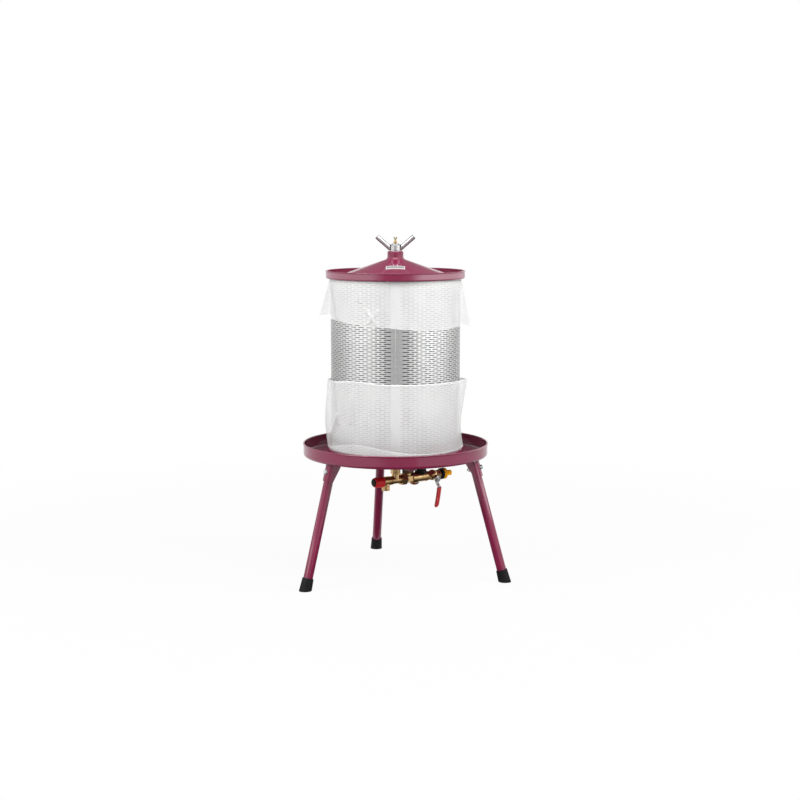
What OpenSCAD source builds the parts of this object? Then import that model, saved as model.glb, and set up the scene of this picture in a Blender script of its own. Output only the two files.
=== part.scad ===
// Fruit press driven by mains water. A rubber bladder on a central pipe swells and
// squeezes the fruit against a slotted basket that stands in a tray on three legs.
// Lengths are millimetres, +Z is up, the front faces -Y, and the origin is on the
// floor under the press axis.

/* [Basket] */
// Outer radius of the basket
basket_r = 173; // [160:1:185]
// Sheet thickness of the basket
basket_wall = 1.5; // [1:0.1:2]
// Height of the basket
basket_h = 456; // [400:1:500]
// Height of the bands at the basket's ends
hoop_h = 20; // [12:1:28]
// Thickness of the bands
hoop_t = 1.5; // [1:0.1:2.5]
// Radius of the weld bead down the basket's front
seam_r = 1.3; // [0.8:0.1:2]

/* [Tray] */
// Height of the tray's lip above the floor
tray_top_z = 362; // [340:1:385]
// Depth of the tray from its lip to the underside of the gutter
tray_depth = 35; // [28:1:40]
// Sheet thickness of the tray
tray_wall = 1.5; // [1.2:0.1:2]
// Radius of the rolled lip
tray_lip_r = 2.2; // [1.8:0.1:3]
// Radius of the corner between gutter and wall
tray_corner_r = 6; // [4:0.5:9]
// Width of the platform's edge outside the basket
platform_margin = 7; // [6:0.5:10]
// Height of the platform above the gutter
platform_rise = 17.5; // [8:0.5:24]
// Run of the platform's sloping side
platform_slope = 4; // [2:0.5:8]
// Distance from the platform's edge to the outside of the lip
gutter_w = 70; // [66:1:80]

/* [Juice spout] */
// Direction of the spout from the press axis, in degrees
spout_angle = 280.5; // [270:0.5:300]
// Distance of the spout's axis from the outside of the lip
spout_inset = 35; // [30:1:40]
// Outer radius of the spout
spout_r = 15; // [12:0.5:17]
// Wall of the spout
spout_wall = 2; // [1.5:0.1:3]
// Length of the spout below the tray
spout_drop = 6; // [5:1:40]

/* [Legs] */
// Turn of the legs about the press axis, in degrees
leg_turn = 10.5; // [-15:0.5:15]
// Outer radius of a leg tube
leg_r = 12.5; // [11:0.5:14]
// Wall of a leg tube
leg_wall = 1.5; // [1:0.1:2.5]
// Distance of a leg's axis from the outside of the lip, at the tray's underside
leg_inset = 32.6; // [30:0.2:38]
// How much further out a leg's axis is at the floor
leg_spread = 91.6; // [70:0.2:115]
// Sheet thickness of a leg bracket
bracket_wall = 3; // [1.5:0.1:3.5]
// Reach of a bracket's gussets inwards from the leg's axis, at the tray
bracket_reach = 20; // [18:1:26]
// Reach of the gussets at their lower end
bracket_tail = 3; // [2:0.5:6]
// Length of a bracket along the leg
bracket_len = 50; // [44:1:60]
// Radius of a leg bolt
bolt_r = 3; // [2.5:0.5:4]
// Width across the flats of its head and nut
bolt_af = 10; // [8:0.5:11]
// Height of the bolt's head
bolt_head_h = 4; // [3:0.1:6]
// Height of the bolt's nut
bolt_nut_h = 5; // [4:0.1:7]
// Length of thread past the nut
bolt_end = 3; // [1:0.5:6]
// Distance of the bolt from the tray, along the leg
bolt_drop = 26; // [22:1:32]
// Radius of the saddle washers
saddle_r = 6.4; // [6:0.1:8]
// Thickness of the saddle washers at their thinnest
saddle_t = 1.2; // [0.8:0.1:2.5]
// Wall of a rubber foot at its top
foot_wall = 2.3; // [2:0.1:4]
// How much wider a foot is at the floor
foot_flare = 2.2; // [1:0.1:4]
// Height of a foot along the leg
foot_h = 33; // [28:1:45]
// Rubber under the end of the leg
foot_sole = 8; // [7:0.5:12]

/* [Core] */
// Outer radius of the central pipe
core_r = 17; // [15:0.5:20]
// Wall of the central pipe
core_wall = 3; // [2.5:0.1:4]
// Radius of the pipe's flange on the platform
core_flange_r = 45; // [40:1:55]
// Thickness of the flange
core_flange_t = 4; // [3:0.5:6]
// Thickness of the gasket under the flange
core_gasket_t = 2; // [1:0.1:3]
// Radius of the gasket
core_gasket_r = 40; // [32:1:44]
// Radius of the washer under the tray
core_washer_r = 32; // [30:1:38]
// Thickness of that washer
core_washer_t = 2; // [1:0.1:3]
// Width across the flats of the lock nut
core_nut_af = 48; // [46:1:56]
// Height of the lock nut
core_nut_h = 10; // [8:0.5:12]
// Distance from the pipe's top to the lid's seat
core_short = 18; // [12:1:30]
// Radius of the water ports in the pipe
port_r = 4; // [3:0.5:5]
// Radius of the threaded stud on the pipe
stud_r = 10; // [9:0.5:11]
// Length of the stud's plug inside the pipe
stud_plug_len = 12; // [8:1:16]
// Thickness of the stud's collar on the pipe
stud_collar_t = 6; // [4:0.5:8]
// Length of stud above the wing nut
stud_show = 3; // [1:0.5:6]

/* [Bladder] */
// Radius of the slack bladder
bladder_r = 60; // [45:1:70]
// Wall of the bladder
bladder_wall = 4; // [3:0.5:6]
// Length of each neck on the pipe
bladder_neck = 20; // [17:1:30]
// Length of each tapering end
bladder_taper = 30; // [20:1:50]
// Height of the clamp bands
clamp_h = 12; // [8:1:15]
// Thickness of the clamp bands
clamp_t = 2; // [1:0.1:3]

/* [Lid] */
// How far the lid stands out beyond the basket
lid_over = 14; // [10:0.5:18]
// Sheet thickness of the lid
lid_wall = 1.6; // [1.2:0.1:2]
// Height of the lid's band
lid_band_h = 21; // [16:0.5:28]
// Radius of the band's rolled edge
lid_lip_r = 2; // [1.6:0.1:3]
// Width of the flat ring inside the basket's edge
lid_seat_w = 5; // [4:0.5:10]
// Rise of the cone
cone_rise = 50; // [40:1:60]
// Radius of the boss
boss_r = 21.5; // [19:0.5:26]
// Height of the boss above the cone
boss_h = 20.5; // [16:0.5:28]
// Chamfer of the boss
boss_chamfer = 2.5; // [0.5:0.1:3.5]
// Reach of the weld round the boss
boss_weld = 3.5; // [2:0.5:5]
// Radius of the boss's spigot through the lid
boss_spigot_r = 16; // [14:0.5:18]
// Length of that spigot below the cone
boss_spigot_len = 6; // [4:0.5:12]
// Play of the boss round the stud
boss_play = 1; // [0.5:0.1:1.5]
// Width of the blank plate
plate_w = 50; // [40:1:70]
// Radius at the plate's upper edge
plate_in_r = 71; // [50:1:80]
// Depth of the plate, seen from above
plate_run = 18; // [14:1:40]
// Thickness of the plate
plate_t = 1; // [0.6:0.1:2]

/* [Wing nut] */
// Thickness of the captive washer
thrust_t = 2; // [1:0.1:3]
// Radius of the hub
hub_r = 15.5; // [14:0.5:18]
// Height of the hub
hub_h = 15; // [12:0.5:20]
// Chamfer of the hub
hub_chamfer = 1; // [0.5:0.1:2]
// Radius of an arm
arm_r = 6.25; // [4:0.25:7]
// Length of an arm from the hub's axis
arm_len = 66; // [50:1:80]
// Height of an arm's line on the hub's axis, above the hub's base
arm_base = -7; // [-9:0.5:-4]
// Rise of an arm, in degrees
arm_rise = 41; // [35:1:50]

/* [Vent] */
// Width across the flats of the vent's hexagon
vent_af = 10; // [8:0.5:12]
// Height of the hexagon
vent_hex_h = 5; // [4:0.5:7]
// Radius of the vent's neck
vent_neck_r = 3.6; // [3:0.1:4.5]
// Height of the neck
vent_neck_h = 4; // [3:0.5:6]
// Length of the vent's spigot in the stud
vent_spigot_len = 7; // [5:0.5:10]
// Radius of the vent's spigot
vent_spigot_r = 4; // [3:0.1:5]
// Radius of the key's spindle, and of the air way under it
vent_spindle_r = 2; // [1.5:0.1:2.5]
// Half the width of the key's wings
vent_wing = 5.5; // [4.5:0.1:6.5]
// Height of the key above the neck
vent_key_h = 8; // [6:0.5:10]
// Thickness of the key
vent_key_t = 2.4; // [1.8:0.1:3]

/* [Cloth] */
// Thickness of the cloth
cloth_t = 0.8; // [0.6:0.1:1.2]
// Slack of the cloth round the bands
cloth_slack = 0.7; // [0.6:0.1:1.5]
// Length of the bag's skirt, on average
skirt_drop = 115; // [80:1:150]
// How much longer the skirt is on the right than on average
skirt_lean = 14; // [0:1:20]
// How much longer the skirt is in front than on average
skirt_dip = 7; // [0:0.5:12]
// Reach of the skirt's side seams at the hem
skirt_ear = 24; // [10:1:30]
// Depth of the skirt's folds at the hem
skirt_fold = 3; // [1:0.5:5]
// Folds round the skirt
skirt_folds = 7; // [5:1:10]
// Height of the sleeve
sleeve_h = 187; // [140:1:220]
// How much higher the sleeve's hem is in front
sleeve_dip = 3.5; // [0:0.5:8]
// Reach of the sleeve's side seams
sleeve_ear = 17; // [5:1:22]
// Depth of the sleeve's folds
sleeve_fold = 3; // [1:0.5:5]
// Folds round the sleeve
sleeve_folds = 9; // [6:1:12]

/* [Manifold] */
// Direction of the manifold's right end, in degrees
manifold_angle = 38; // [30:1:46]
// Depth of the manifold's axis below the tray
manifold_drop = 70; // [62:1:95]
// Radius of the water way
run_bore = 5; // [4:0.5:5.5]
// Radius of the threads in the run
thread_r = 7; // [6.5:0.1:7.5]
// Length of a thread in its socket
thread_len = 8; // [6:0.5:9]
// Radius of the tee
tee_r = 10.5; // [8.6:0.1:11]
// Half the length of the tee
tee_half = 17; // [15:0.5:22]
// Height of the tee's branch above its axis
tee_rise = 17.5; // [16:0.5:22]
// Radius of the bands on the tee's ends
tee_band_r = 11.8; // [11:0.1:13]
// Length of those bands
tee_band_len = 5; // [4:0.5:6]
// Width across the flats of the adapter's lower part
adapter_af = 23; // [21:0.5:26]
// Height of the adapter's lower part
adapter_h = 22; // [16:0.5:28]
// Wall of the adapter's socket round the pipe
adapter_wall = 5; // [4:0.5:7]
// Depth of that socket
adapter_socket = 18; // [14:0.5:22]
// Width across the flats of the union nut
union_af = 29; // [22:0.5:32]
// Length of the union nut
union_len = 16; // [12:0.5:20]
// Width across the flats of the nipple
nipple_af = 24; // [18:0.5:25]
// Length of the nipple's hexagon
nipple_len = 20; // [19:0.5:24]
// Radius of the port's boss on the nipple
side_port_r = 9; // [8:0.25:9.4]
// Height of that boss above the axis
port_z = 15.3; // [15.2:0.1:17]
// Radius of the port's thread
port_thread_r = 5.5; // [5.2:0.1:6]
// Width across the flats of the port's cap
port_cap_af = 30; // [24:0.5:32]
// Height of the cap
port_cap_h = 12; // [8:0.5:15]

/* [Safety valve] */
// Radius of the safety valve's body
relief_r = 12.5; // [11:0.25:13]
// Length of the body
relief_len = 22; // [22:0.5:26]
// Length of the neck between body and tee
relief_neck = 5; // [3:0.5:8]
// Radius of the valve chamber
relief_chamber_r = 7; // [6.5:0.1:7.5]
// Thickness of the seat's wall
relief_seat_t = 4; // [3:0.5:5]
// Wall of the bonnet inside the cap
relief_wall = 1.5; // [1.2:0.1:2]
// Radius of the outlet's outside
outlet_r = 11; // [9.5:0.25:11]
// Radius of the outlet's bore
outlet_bore_r = 6; // [5:0.1:6.4]
// Depth of the outlet's bore
outlet_bore_len = 12; // [9:0.5:13]
// Radius of the drilled way from the chamber to that bore
outlet_way_r = 4.5; // [3:0.1:4.8]
// Depth of the outlet below the axis
outlet_drop = 25; // [22:0.5:34]
// Length of the bonnet inside the cap
relief_bonnet = 10; // [8:0.5:12]
// Length of the cap
relief_cap_len = 30; // [27:0.5:36]
// Radius of the cap at the body
relief_cap_r = 15; // [13:0.25:16]
// Radius of the cap at its end
relief_cap_end_r = 12.25; // [11:0.25:13]
// Thickness of the cap's end
relief_cap_end_t = 5; // [3:0.5:6]
// Radius of the end disc
relief_tip_r = 10; // [7:0.25:11]
// Thickness of the end disc
relief_tip_t = 2; // [1:0.1:3]
// Radius of the valve disc
disc_r = 6; // [5:0.1:6.3]
// Thickness of the valve disc
disc_t = 3; // [2:0.5:4]
// Radius of the disc's spindle
disc_spindle_r = 2; // [1.5:0.1:2.5]
// Lift of the disc
disc_lift = 2; // [1:0.1:2.5]

/* [Pressure limiter] */
// Radius of the barrel
limiter_r = 14; // [12:0.25:14.5]
// Length of the barrel
limiter_len = 53; // [52:0.5:60]
// Radius of the collars on the barrel's ends
limiter_collar_r = 14.8; // [14.5:0.1:15]
// Length of those collars
limiter_collar_len = 2.5; // [2:0.25:2.5]
// Distance of the bonnet's axis from the barrel's left end
bonnet_pos = 34; // [33:0.5:35]
// Radius of the bonnet
bonnet_r = 16; // [15:0.25:17]
// Height of the bonnet
bonnet_h = 29.7; // [28:0.1:36]
// Height of the bonnet's base above the axis
bonnet_base = 9.5; // [9:0.1:11]
// Radius of the boss that the bonnet screws on
bonnet_boss_r = 10; // [9.5:0.1:11]
// Height of that boss above the axis
bonnet_boss_z = 24; // [22:0.5:25]
// Radius of the piston
piston_r = 7; // [6:0.1:7.5]
// Height of the piston
piston_h = 6; // [5:0.5:7]
// Height of the piston's base above the axis
piston_base = 9; // [8:0.5:10]
// Radius of the bonnet's spring chamber
bonnet_chamber_r = 8.5; // [8:0.1:9]
// Thickness of the bonnet's top
bonnet_top_t = 4; // [3:0.5:6]
// Distance of the drain plug's axis from the barrel's left end
drain_pos = 12.5; // [12:0.5:14]
// Radius of the drain plug's head
drain_r = 13.5; // [11:0.25:14]
// Height of the domed head
drain_h = 5.5; // [2.5:0.5:6.5]
// Radius of the plug's thread
drain_thread_r = 4; // [3:0.25:4.5]
// Radius of the boss that the plug seats on
drain_boss_r = 7; // [6:0.25:9]
// How far that boss stands out beyond the barrel's collars
drain_seat = 0.3; // [0.2:0.1:2]

/* [Ball valve] */
// Turn of the valve's stem below the level, in degrees
valve_tilt = 20; // [0:1:30]
// Width across the flats of the valve's ends
valve_af = 24; // [22:0.5:27]
// Length of each hexagon
valve_hex_len = 13; // [9:0.5:14]
// Length of the valve's body
valve_len = 46; // [42:0.5:52]
// Radius of the body at the ball
valve_r = 15; // [14:0.25:17]
// Radius of the ball
ball_r = 8.5; // [8:0.1:8.6]
// Radius of the ball's bore
ball_bore = 4.5; // [3.5:0.1:5]
// Depth of the ball's slot
slot_depth = 1.5; // [1:0.1:2]
// Width of the ball's slot
slot_w = 3; // [2.5:0.1:3.5]
// Length of the ball's slot
slot_len = 6; // [5:0.25:7]
// Radius of the seats, in a chamber that clears the ball
seat_r = 9; // [8.9:0.1:9.5]
// Outer end of a seat, measured from the ball's centre
seat_out = 9.5; // [9:0.1:10]
// Radius of the stem
stem_r = 4; // [3.6:0.1:4.5]
// Radius of the stem's housing
housing_r = 7.5; // [7:0.1:9]
// Reach of the housing from the axis
housing_out = 20; // [18:0.5:24]
// Gap between housing and lever
lever_stand = 2; // [1:0.1:4]
// Thickness of the lever
lever_t = 2.5; // [2:0.1:3]
// Radius of the lever's eye
lever_eye_r = 9.5; // [8.5:0.25:12]
// Width of the lever
lever_w = 10; // [8:0.5:12]
// Length of the lever from the stem
lever_len = 85; // [70:1:95]
// Turn of the lever past square to the run while the valve is shut, in degrees
lever_skew = 8; // [0:1:15]
// Outward crank of the lever
lever_crank = 13; // [6:0.5:16]
// How far the lever's end bends back in
lever_back = 2; // [0:0.5:8]
// Thickness of the grip round the lever
grip_t = 2; // [1.2:0.1:3]
// Width across the flats of the lever's nut
lever_nut_af = 13; // [11:0.5:15]
// Height of the lever's nut
lever_nut_h = 5; // [4:0.5:6]
// Length of stem past its nut
stem_show = 1; // [0.5:0.1:3]
// Length of the valve's outlet thread
valve_thread_len = 18; // [16:0.5:20]
// Radius of the valve's outlet thread
valve_thread_r = 10; // [9.5:0.25:11]

/* [Hose connector] */
// Length of bare thread before the ring
ring_set = 4; // [3:0.5:6]
// Length of the black ring
ring_len = 8; // [4:0.5:9]
// Radius of the ring and the collar
collar_r = 15.5; // [14:0.25:18]
// Length of the yellow collar
collar_len = 10; // [8:0.5:14]
// Ribs round the collar
collar_ribs = 12; // [8:1:16]
// Depth of the cuts between the ribs
rib_depth = 1; // [0.5:0.1:1.5]
// Radius of the connector's nose
nose_r = 7.7; // [7:0.1:8.5]
// Length of the nose
nose_len = 20; // [16:0.5:26]

/* [Hidden] */
// Clearance of pieces that are fixed together
fit_gap = 0.05;
// Clearance of pieces that turn or slide in each other
run_gap = 0.06;
// Clearance of a piece that stands on another, and of cloth
seat_gap = 0.3;
// How far a cut runs past the face that it leaves
overrun = 1;
$fn = 64;

// Colours
paint = [0.50, 0.16, 0.29];
steel = [0.72, 0.73, 0.75];
zinc = [0.66, 0.67, 0.68];
brass_tone = [0.70, 0.54, 0.32];
black_rubber = [0.11, 0.11, 0.12];
white_cloth = [0.93, 0.93, 0.93];
red_tone = [0.78, 0.12, 0.15];
yellow_tone = [0.92, 0.62, 0.10];
white_seal = [0.88, 0.88, 0.86];

// Tray levels and radii
tray_bottom_z = tray_top_z - tray_depth;
gutter_z = tray_bottom_z + tray_wall;
platform_z = gutter_z + platform_rise;
platform_r = basket_r + platform_margin;
tray_r = platform_r + gutter_w;
tray_wall_mid = tray_r - tray_lip_r;
spout_pitch_r = tray_r - spout_inset;
spout_bore_r = spout_r - spout_wall;

// Legs: the axis leaves the tray's underside at leg_top_r and meets the floor leg_spread further out
leg_top_r = tray_r - leg_inset;
leg_lean = atan(leg_spread / tray_bottom_z);
leg_len = tray_bottom_z / cos(leg_lean);
leg_angles = [90 + leg_turn, 210 + leg_turn, 330 + leg_turn];
bracket_in_r = leg_r + fit_gap;
bracket_out_r = bracket_in_r + bracket_wall;
bolt_out_x = bracket_out_r + saddle_t;
bolt_in_x = leg_r + saddle_t;
foot_top_r = leg_r + fit_gap + foot_wall;
foot_r = foot_top_r + foot_flare;

// Heights up the press axis
basket_z = platform_z + seat_gap;
basket_top_z = basket_z + basket_h;
bag_under_z = basket_top_z + seat_gap;
bag_top_z = bag_under_z + cloth_t;
lid_seat_z = bag_top_z + seat_gap;
cone_base_r = basket_r - lid_seat_w;
cone_base_z = lid_seat_z + lid_wall;
cone_slope = cone_rise / (cone_base_r - boss_r);
function cone_z(r) = cone_base_z + (cone_base_r - r) * cone_slope;
boss_bore_r = stud_r + boss_play;
boss_top_z = cone_z(boss_r) + boss_h;
thrust_z = boss_top_z + fit_gap;
hub_z = thrust_z + thrust_t + fit_gap;
stud_top_z = hub_z + hub_h + stud_show;
vent_neck_z = stud_top_z + vent_hex_h;
vent_top_z = vent_neck_z + vent_neck_h;
lid_r = basket_r + lid_over;
lid_wall_mid = lid_r - lid_lip_r;
core_top_z = lid_seat_z - core_short;
core_bore_r = core_r - core_wall;
core_flange_z = platform_z + core_gasket_t;
core_nut_z = platform_z - tray_wall - core_washer_t - core_nut_h;
bladder_z = core_flange_z + core_flange_t + seat_gap;
bladder_top_z = core_top_z - seat_gap;
bladder_neck_r = core_r + fit_gap + bladder_wall;

// Stations along the manifold, from the tee's centre, positive towards the hose
manifold_z = tray_bottom_z - manifold_drop;
socket_r = thread_r + fit_gap;
relief_neck_x = -tee_half - relief_neck;
relief_left_x = relief_neck_x - relief_len;
outlet_x = (relief_neck_x + relief_left_x) / 2;
relief_seat_x = relief_neck_x - relief_seat_t;
relief_bonnet_x = relief_left_x - relief_bonnet;
relief_guide_x = relief_bonnet_x + relief_seat_t;
relief_bonnet_r = relief_chamber_r + relief_wall;
relief_cap_x = relief_left_x - relief_cap_len;
disc_x = relief_seat_x - fit_gap;
disc_end_x = relief_bonnet_x - disc_lift - relief_cap_end_t;
union_x = tee_half;
nipple_x = union_x + union_len;
port_x = nipple_x + nipple_len / 2;
limiter_x = nipple_x + nipple_len;
bonnet_x = limiter_x + bonnet_pos;
drain_x = limiter_x + drain_pos;
drain_z = -limiter_collar_r - drain_seat;
valve_x = limiter_x + limiter_len;
ball_x = valve_x + valve_len / 2;
valve_end_x = valve_x + valve_len;
ring_x = valve_end_x + ring_set;
collar_x = ring_x + ring_len;
nose_x = collar_x + collar_len;
core_bottom_z = manifold_z + tee_rise + adapter_h + fit_gap;
adapter_top_z = core_bottom_z + adapter_socket;
adapter_socket_r = core_r + fit_gap;

// Lever stations outwards from the manifold's axis
lever_y = housing_out + lever_stand;
lever_nut_y = lever_y + lever_t;
stem_end_y = lever_nut_y + lever_nut_h + stem_show;

// Radius of a hexagon's corners from its width across the flats
function corner_r(af) = af / sqrt(3);

// Points on an arc about a centre, from one angle to another
function arc(centre, r, from, to, steps) =
    [for (k = [0 : steps]) let (a = from + (to - from) * k / steps) centre + r * [cos(a), sin(a)]];

// Steps round the bend between a flat sheet and its wall, and over the ball valve's belly
corner_steps = 5;
belly_steps = 6;

module ring(inner_r, outer_r, h) {
    difference() {
        cylinder(r = outer_r, h = h);
        translate([0, 0, -overrun]) cylinder(r = inner_r, h = h + 2 * overrun);
    }
}

module hexagon(af, h) {
    cylinder(r = corner_r(af), h = h, $fn = 6);
}

// Frame of one leg: the origin is on its axis at the tray's underside, and +Z runs down the leg
module at_leg(angle) {
    rotate([0, 0, angle]) translate([leg_top_r, 0, tray_bottom_z]) rotate([0, 180 - leg_lean, 0]) children();
}

// Frame of the manifold: +X runs along it towards the hose, and -Y faces the front
module at_manifold() {
    translate([0, 0, manifold_z]) rotate([0, 0, manifold_angle]) children();
}

// The same, turned about the manifold so that the valve's stem points forwards and down
module at_valve() {
    at_manifold() rotate([valve_tilt, 0, 0]) children();
}

// The same, turned about the stem with the lever
module at_lever() {
    at_valve() translate([ball_x, 0, 0]) rotate([0, -lever_skew, 0]) translate([-ball_x, 0, 0]) children();
}

// A shape that stands on +Z, laid along the manifold from a station
module along(x) {
    translate([x, 0, 0]) rotate([0, 90, 0]) children();
}

// The same, laid towards the front from a station
module outwards(x, y) {
    translate([x, -y, 0]) rotate([90, 0, 0]) children();
}

module above_tray() {
    translate([-tray_r, -tray_r, tray_bottom_z]) cube([2 * tray_r, 2 * tray_r, tray_depth]);
}

module under_floor() {
    reach = leg_top_r + leg_spread + tray_depth;
    translate([-reach, -reach, -tray_depth]) cube([2 * reach, 2 * reach, tray_depth]);
}

// Tray and spout
module tray() {
    wall_in = tray_wall_mid - tray_wall / 2;
    wall_out = tray_wall_mid + tray_wall / 2;
    lip_z = tray_top_z - tray_lip_r;
    bend = [wall_in - tray_corner_r, gutter_z + tray_corner_r];
    hole_r = core_r + fit_gap;
    color(paint) difference() {
        union() {
            rotate_extrude($fn = 128) polygon(concat(
                [[hole_r, platform_z], [platform_r, platform_z], [platform_r + platform_slope, gutter_z]],
                arc(bend, tray_corner_r, -90, 0, corner_steps),
                [[wall_in, lip_z], [wall_out, lip_z]],
                arc(bend, tray_corner_r + tray_wall, 0, -90, corner_steps),
                [[platform_r + platform_slope - tray_wall, tray_bottom_z],
                 [platform_r - tray_wall, platform_z - tray_wall], [hole_r, platform_z - tray_wall]]));
            rotate_extrude($fn = 128) translate([tray_wall_mid, lip_z]) circle(r = tray_lip_r, $fn = 32);
        }
        rotate([0, 0, spout_angle]) translate([spout_pitch_r, 0, tray_bottom_z - overrun])
            cylinder(r = spout_bore_r + fit_gap, h = tray_wall + 2 * overrun);
    }
}

module juice_spout() {
    color(paint) rotate([0, 0, spout_angle]) translate([spout_pitch_r, 0, tray_bottom_z - spout_drop])
        ring(spout_bore_r, spout_r, spout_drop);
}

// Legs, brackets, feet and their bolts
module leg(angle) {
    over = 2 * leg_r * tan(leg_lean);
    color(paint) difference() {
        at_leg(angle) difference() {
            translate([0, 0, -over]) ring(leg_r - leg_wall, leg_r, leg_len - foot_sole + over);
            translate([-leg_r - overrun, 0, bolt_drop]) rotate([0, 90, 0])
                cylinder(r = bolt_r + fit_gap, h = 2 * (leg_r + overrun));
        }
        above_tray();
    }
}

module leg_bracket(angle) {
    over = (bracket_reach + bracket_out_r) * tan(leg_lean);
    len = bracket_len + over;
    past = bracket_reach + overrun;
    color(paint) difference() {
        at_leg(angle) difference() {
            translate([0, 0, -over]) union() {
                cylinder(r = bracket_out_r, h = len);
                translate([0, -bracket_out_r, 0]) cube([bracket_reach, 2 * bracket_out_r, len]);
            }
            translate([0, 0, -over - overrun]) cylinder(r = bracket_in_r, h = len + 2 * overrun);
            translate([0, -bracket_in_r, -over - overrun])
                cube([past, 2 * bracket_in_r, len + 2 * overrun]);
            translate([0, bracket_out_r + overrun, 0]) rotate([90, 0, 0])
                linear_extrude(2 * (bracket_out_r + overrun))
                polygon([[bracket_reach, 0], [past, 0], [past, bracket_len + overrun],
                    [bracket_tail, bracket_len + overrun], [bracket_tail, bracket_len]]);
            translate([-bracket_out_r - overrun, 0, bolt_drop]) rotate([0, 90, 0])
                cylinder(r = bolt_r + fit_gap, h = bracket_out_r);
        }
        above_tray();
    }
}

module foot(angle) {
    dip = 2 * foot_r * tan(leg_lean);
    color(black_rubber) difference() {
        at_leg(angle) difference() {
            translate([0, 0, leg_len - foot_h]) cylinder(r1 = foot_top_r, r2 = foot_r, h = foot_h + dip);
            translate([0, 0, leg_len - foot_h - overrun])
                cylinder(r = leg_r + fit_gap, h = foot_h - foot_sole + overrun + fit_gap);
        }
        under_floor();
    }
}

module leg_bolts() {
    color(zinc) for (angle = leg_angles) at_leg(angle) translate([0, 0, bolt_drop]) rotate([0, 90, 0]) {
        translate([0, 0, -bolt_out_x])
            cylinder(r = bolt_r, h = bolt_out_x + bolt_in_x + bolt_nut_h + bolt_end);
        translate([0, 0, -bolt_out_x - bolt_head_h]) hexagon(bolt_af, bolt_head_h);
    }
}

module leg_nuts() {
    color(zinc) for (angle = leg_angles) at_leg(angle) translate([bolt_in_x, 0, bolt_drop]) rotate([0, 90, 0])
        difference() {
            hexagon(bolt_af, bolt_nut_h);
            translate([0, 0, -overrun]) cylinder(r = bolt_r + fit_gap, h = bolt_nut_h + 2 * overrun);
        }
}

// Saddle washers: flat towards the bolt and hollowed to the tube or the bracket on the other side
module leg_washers() {
    color(zinc) for (angle = leg_angles) at_leg(angle) difference() {
        translate([-bolt_out_x, 0, bolt_drop]) rotate([0, 90, 0])
            ring(bolt_r + fit_gap, saddle_r, bolt_out_x + bolt_in_x);
        cylinder(r = leg_r + fit_gap, h = bracket_len);
        difference() {
            cylinder(r = bracket_out_r + fit_gap, h = bracket_len);
            translate([0, -bracket_out_r - overrun, -overrun])
                cube([bracket_out_r + overrun, 2 * (bracket_out_r + overrun), bracket_len + 2 * overrun]);
        }
    }
}

// Central pipe with its flange and water ports
module core_pipe() {
    ports = [0, 60, 120];
    mid_z = (bladder_z + bladder_top_z) / 2;
    color(steel) difference() {
        union() {
            translate([0, 0, core_bottom_z]) cylinder(r = core_r, h = core_top_z - core_bottom_z);
            translate([0, 0, core_flange_z]) cylinder(r = core_flange_r, h = core_flange_t);
        }
        translate([0, 0, core_bottom_z - overrun])
            cylinder(r = core_bore_r, h = core_top_z - core_bottom_z + 2 * overrun);
        for (a = ports) rotate([0, 0, a]) translate([-core_r - overrun, 0, mid_z]) rotate([0, 90, 0])
            cylinder(r = port_r, h = 2 * (core_r + overrun));
    }
}

module core_gasket() {
    color(black_rubber) translate([0, 0, platform_z])
        ring(core_r + fit_gap, core_gasket_r, core_gasket_t);
}

module core_washer() {
    color(zinc) translate([0, 0, core_nut_z + core_nut_h])
        ring(core_r + fit_gap, core_washer_r, core_washer_t);
}

module core_locknut() {
    color(zinc) translate([0, 0, core_nut_z]) difference() {
        hexagon(core_nut_af, core_nut_h);
        translate([0, 0, -overrun]) cylinder(r = core_r + fit_gap, h = core_nut_h + 2 * overrun);
    }
}

module core_stud() {
    color(zinc) difference() {
        union() {
            translate([0, 0, core_top_z - stud_plug_len])
                cylinder(r = core_bore_r - fit_gap, h = stud_plug_len);
            translate([0, 0, core_top_z]) cylinder(r = core_r, h = stud_collar_t);
            translate([0, 0, core_top_z]) cylinder(r = stud_r, h = stud_top_z - core_top_z);
        }
        translate([0, 0, core_top_z - stud_plug_len - overrun])
            cylinder(r = vent_spindle_r, h = stud_top_z - core_top_z + stud_plug_len + 2 * overrun);
        translate([0, 0, stud_top_z - vent_spigot_len - fit_gap])
            cylinder(r = vent_spigot_r + fit_gap, h = vent_spigot_len + fit_gap + overrun);
    }
}

// Bleed tap on the stud
module vent_body() {
    color(brass_tone) difference() {
        union() {
            translate([0, 0, stud_top_z - vent_spigot_len]) cylinder(r = vent_spigot_r, h = vent_spigot_len);
            translate([0, 0, stud_top_z]) hexagon(vent_af, vent_hex_h);
            translate([0, 0, vent_neck_z]) cylinder(r = vent_neck_r, h = vent_neck_h);
        }
        translate([0, 0, stud_top_z - vent_spigot_len - overrun])
            cylinder(r = vent_spindle_r + run_gap,
                h = vent_spigot_len + vent_hex_h + vent_neck_h + 2 * overrun);
    }
}

// Key with two raised wings on a spindle
module vent_key() {
    wing_root_share = 0.35;
    wing_notch_share = 0.45;
    root = vent_wing * wing_root_share;
    notch = vent_key_h * wing_notch_share;
    color(brass_tone) translate([0, 0, vent_top_z]) {
        translate([0, 0, -vent_neck_h]) cylinder(r = vent_spindle_r, h = vent_neck_h + fit_gap);
        translate([0, vent_key_t / 2, fit_gap]) rotate([90, 0, 0]) linear_extrude(vent_key_t)
            polygon([[-root, 0], [root, 0], [vent_wing, vent_key_h], [root, vent_key_h], [0, notch],
                [-root, vent_key_h], [-vent_wing, vent_key_h]]);
    }
}

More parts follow.
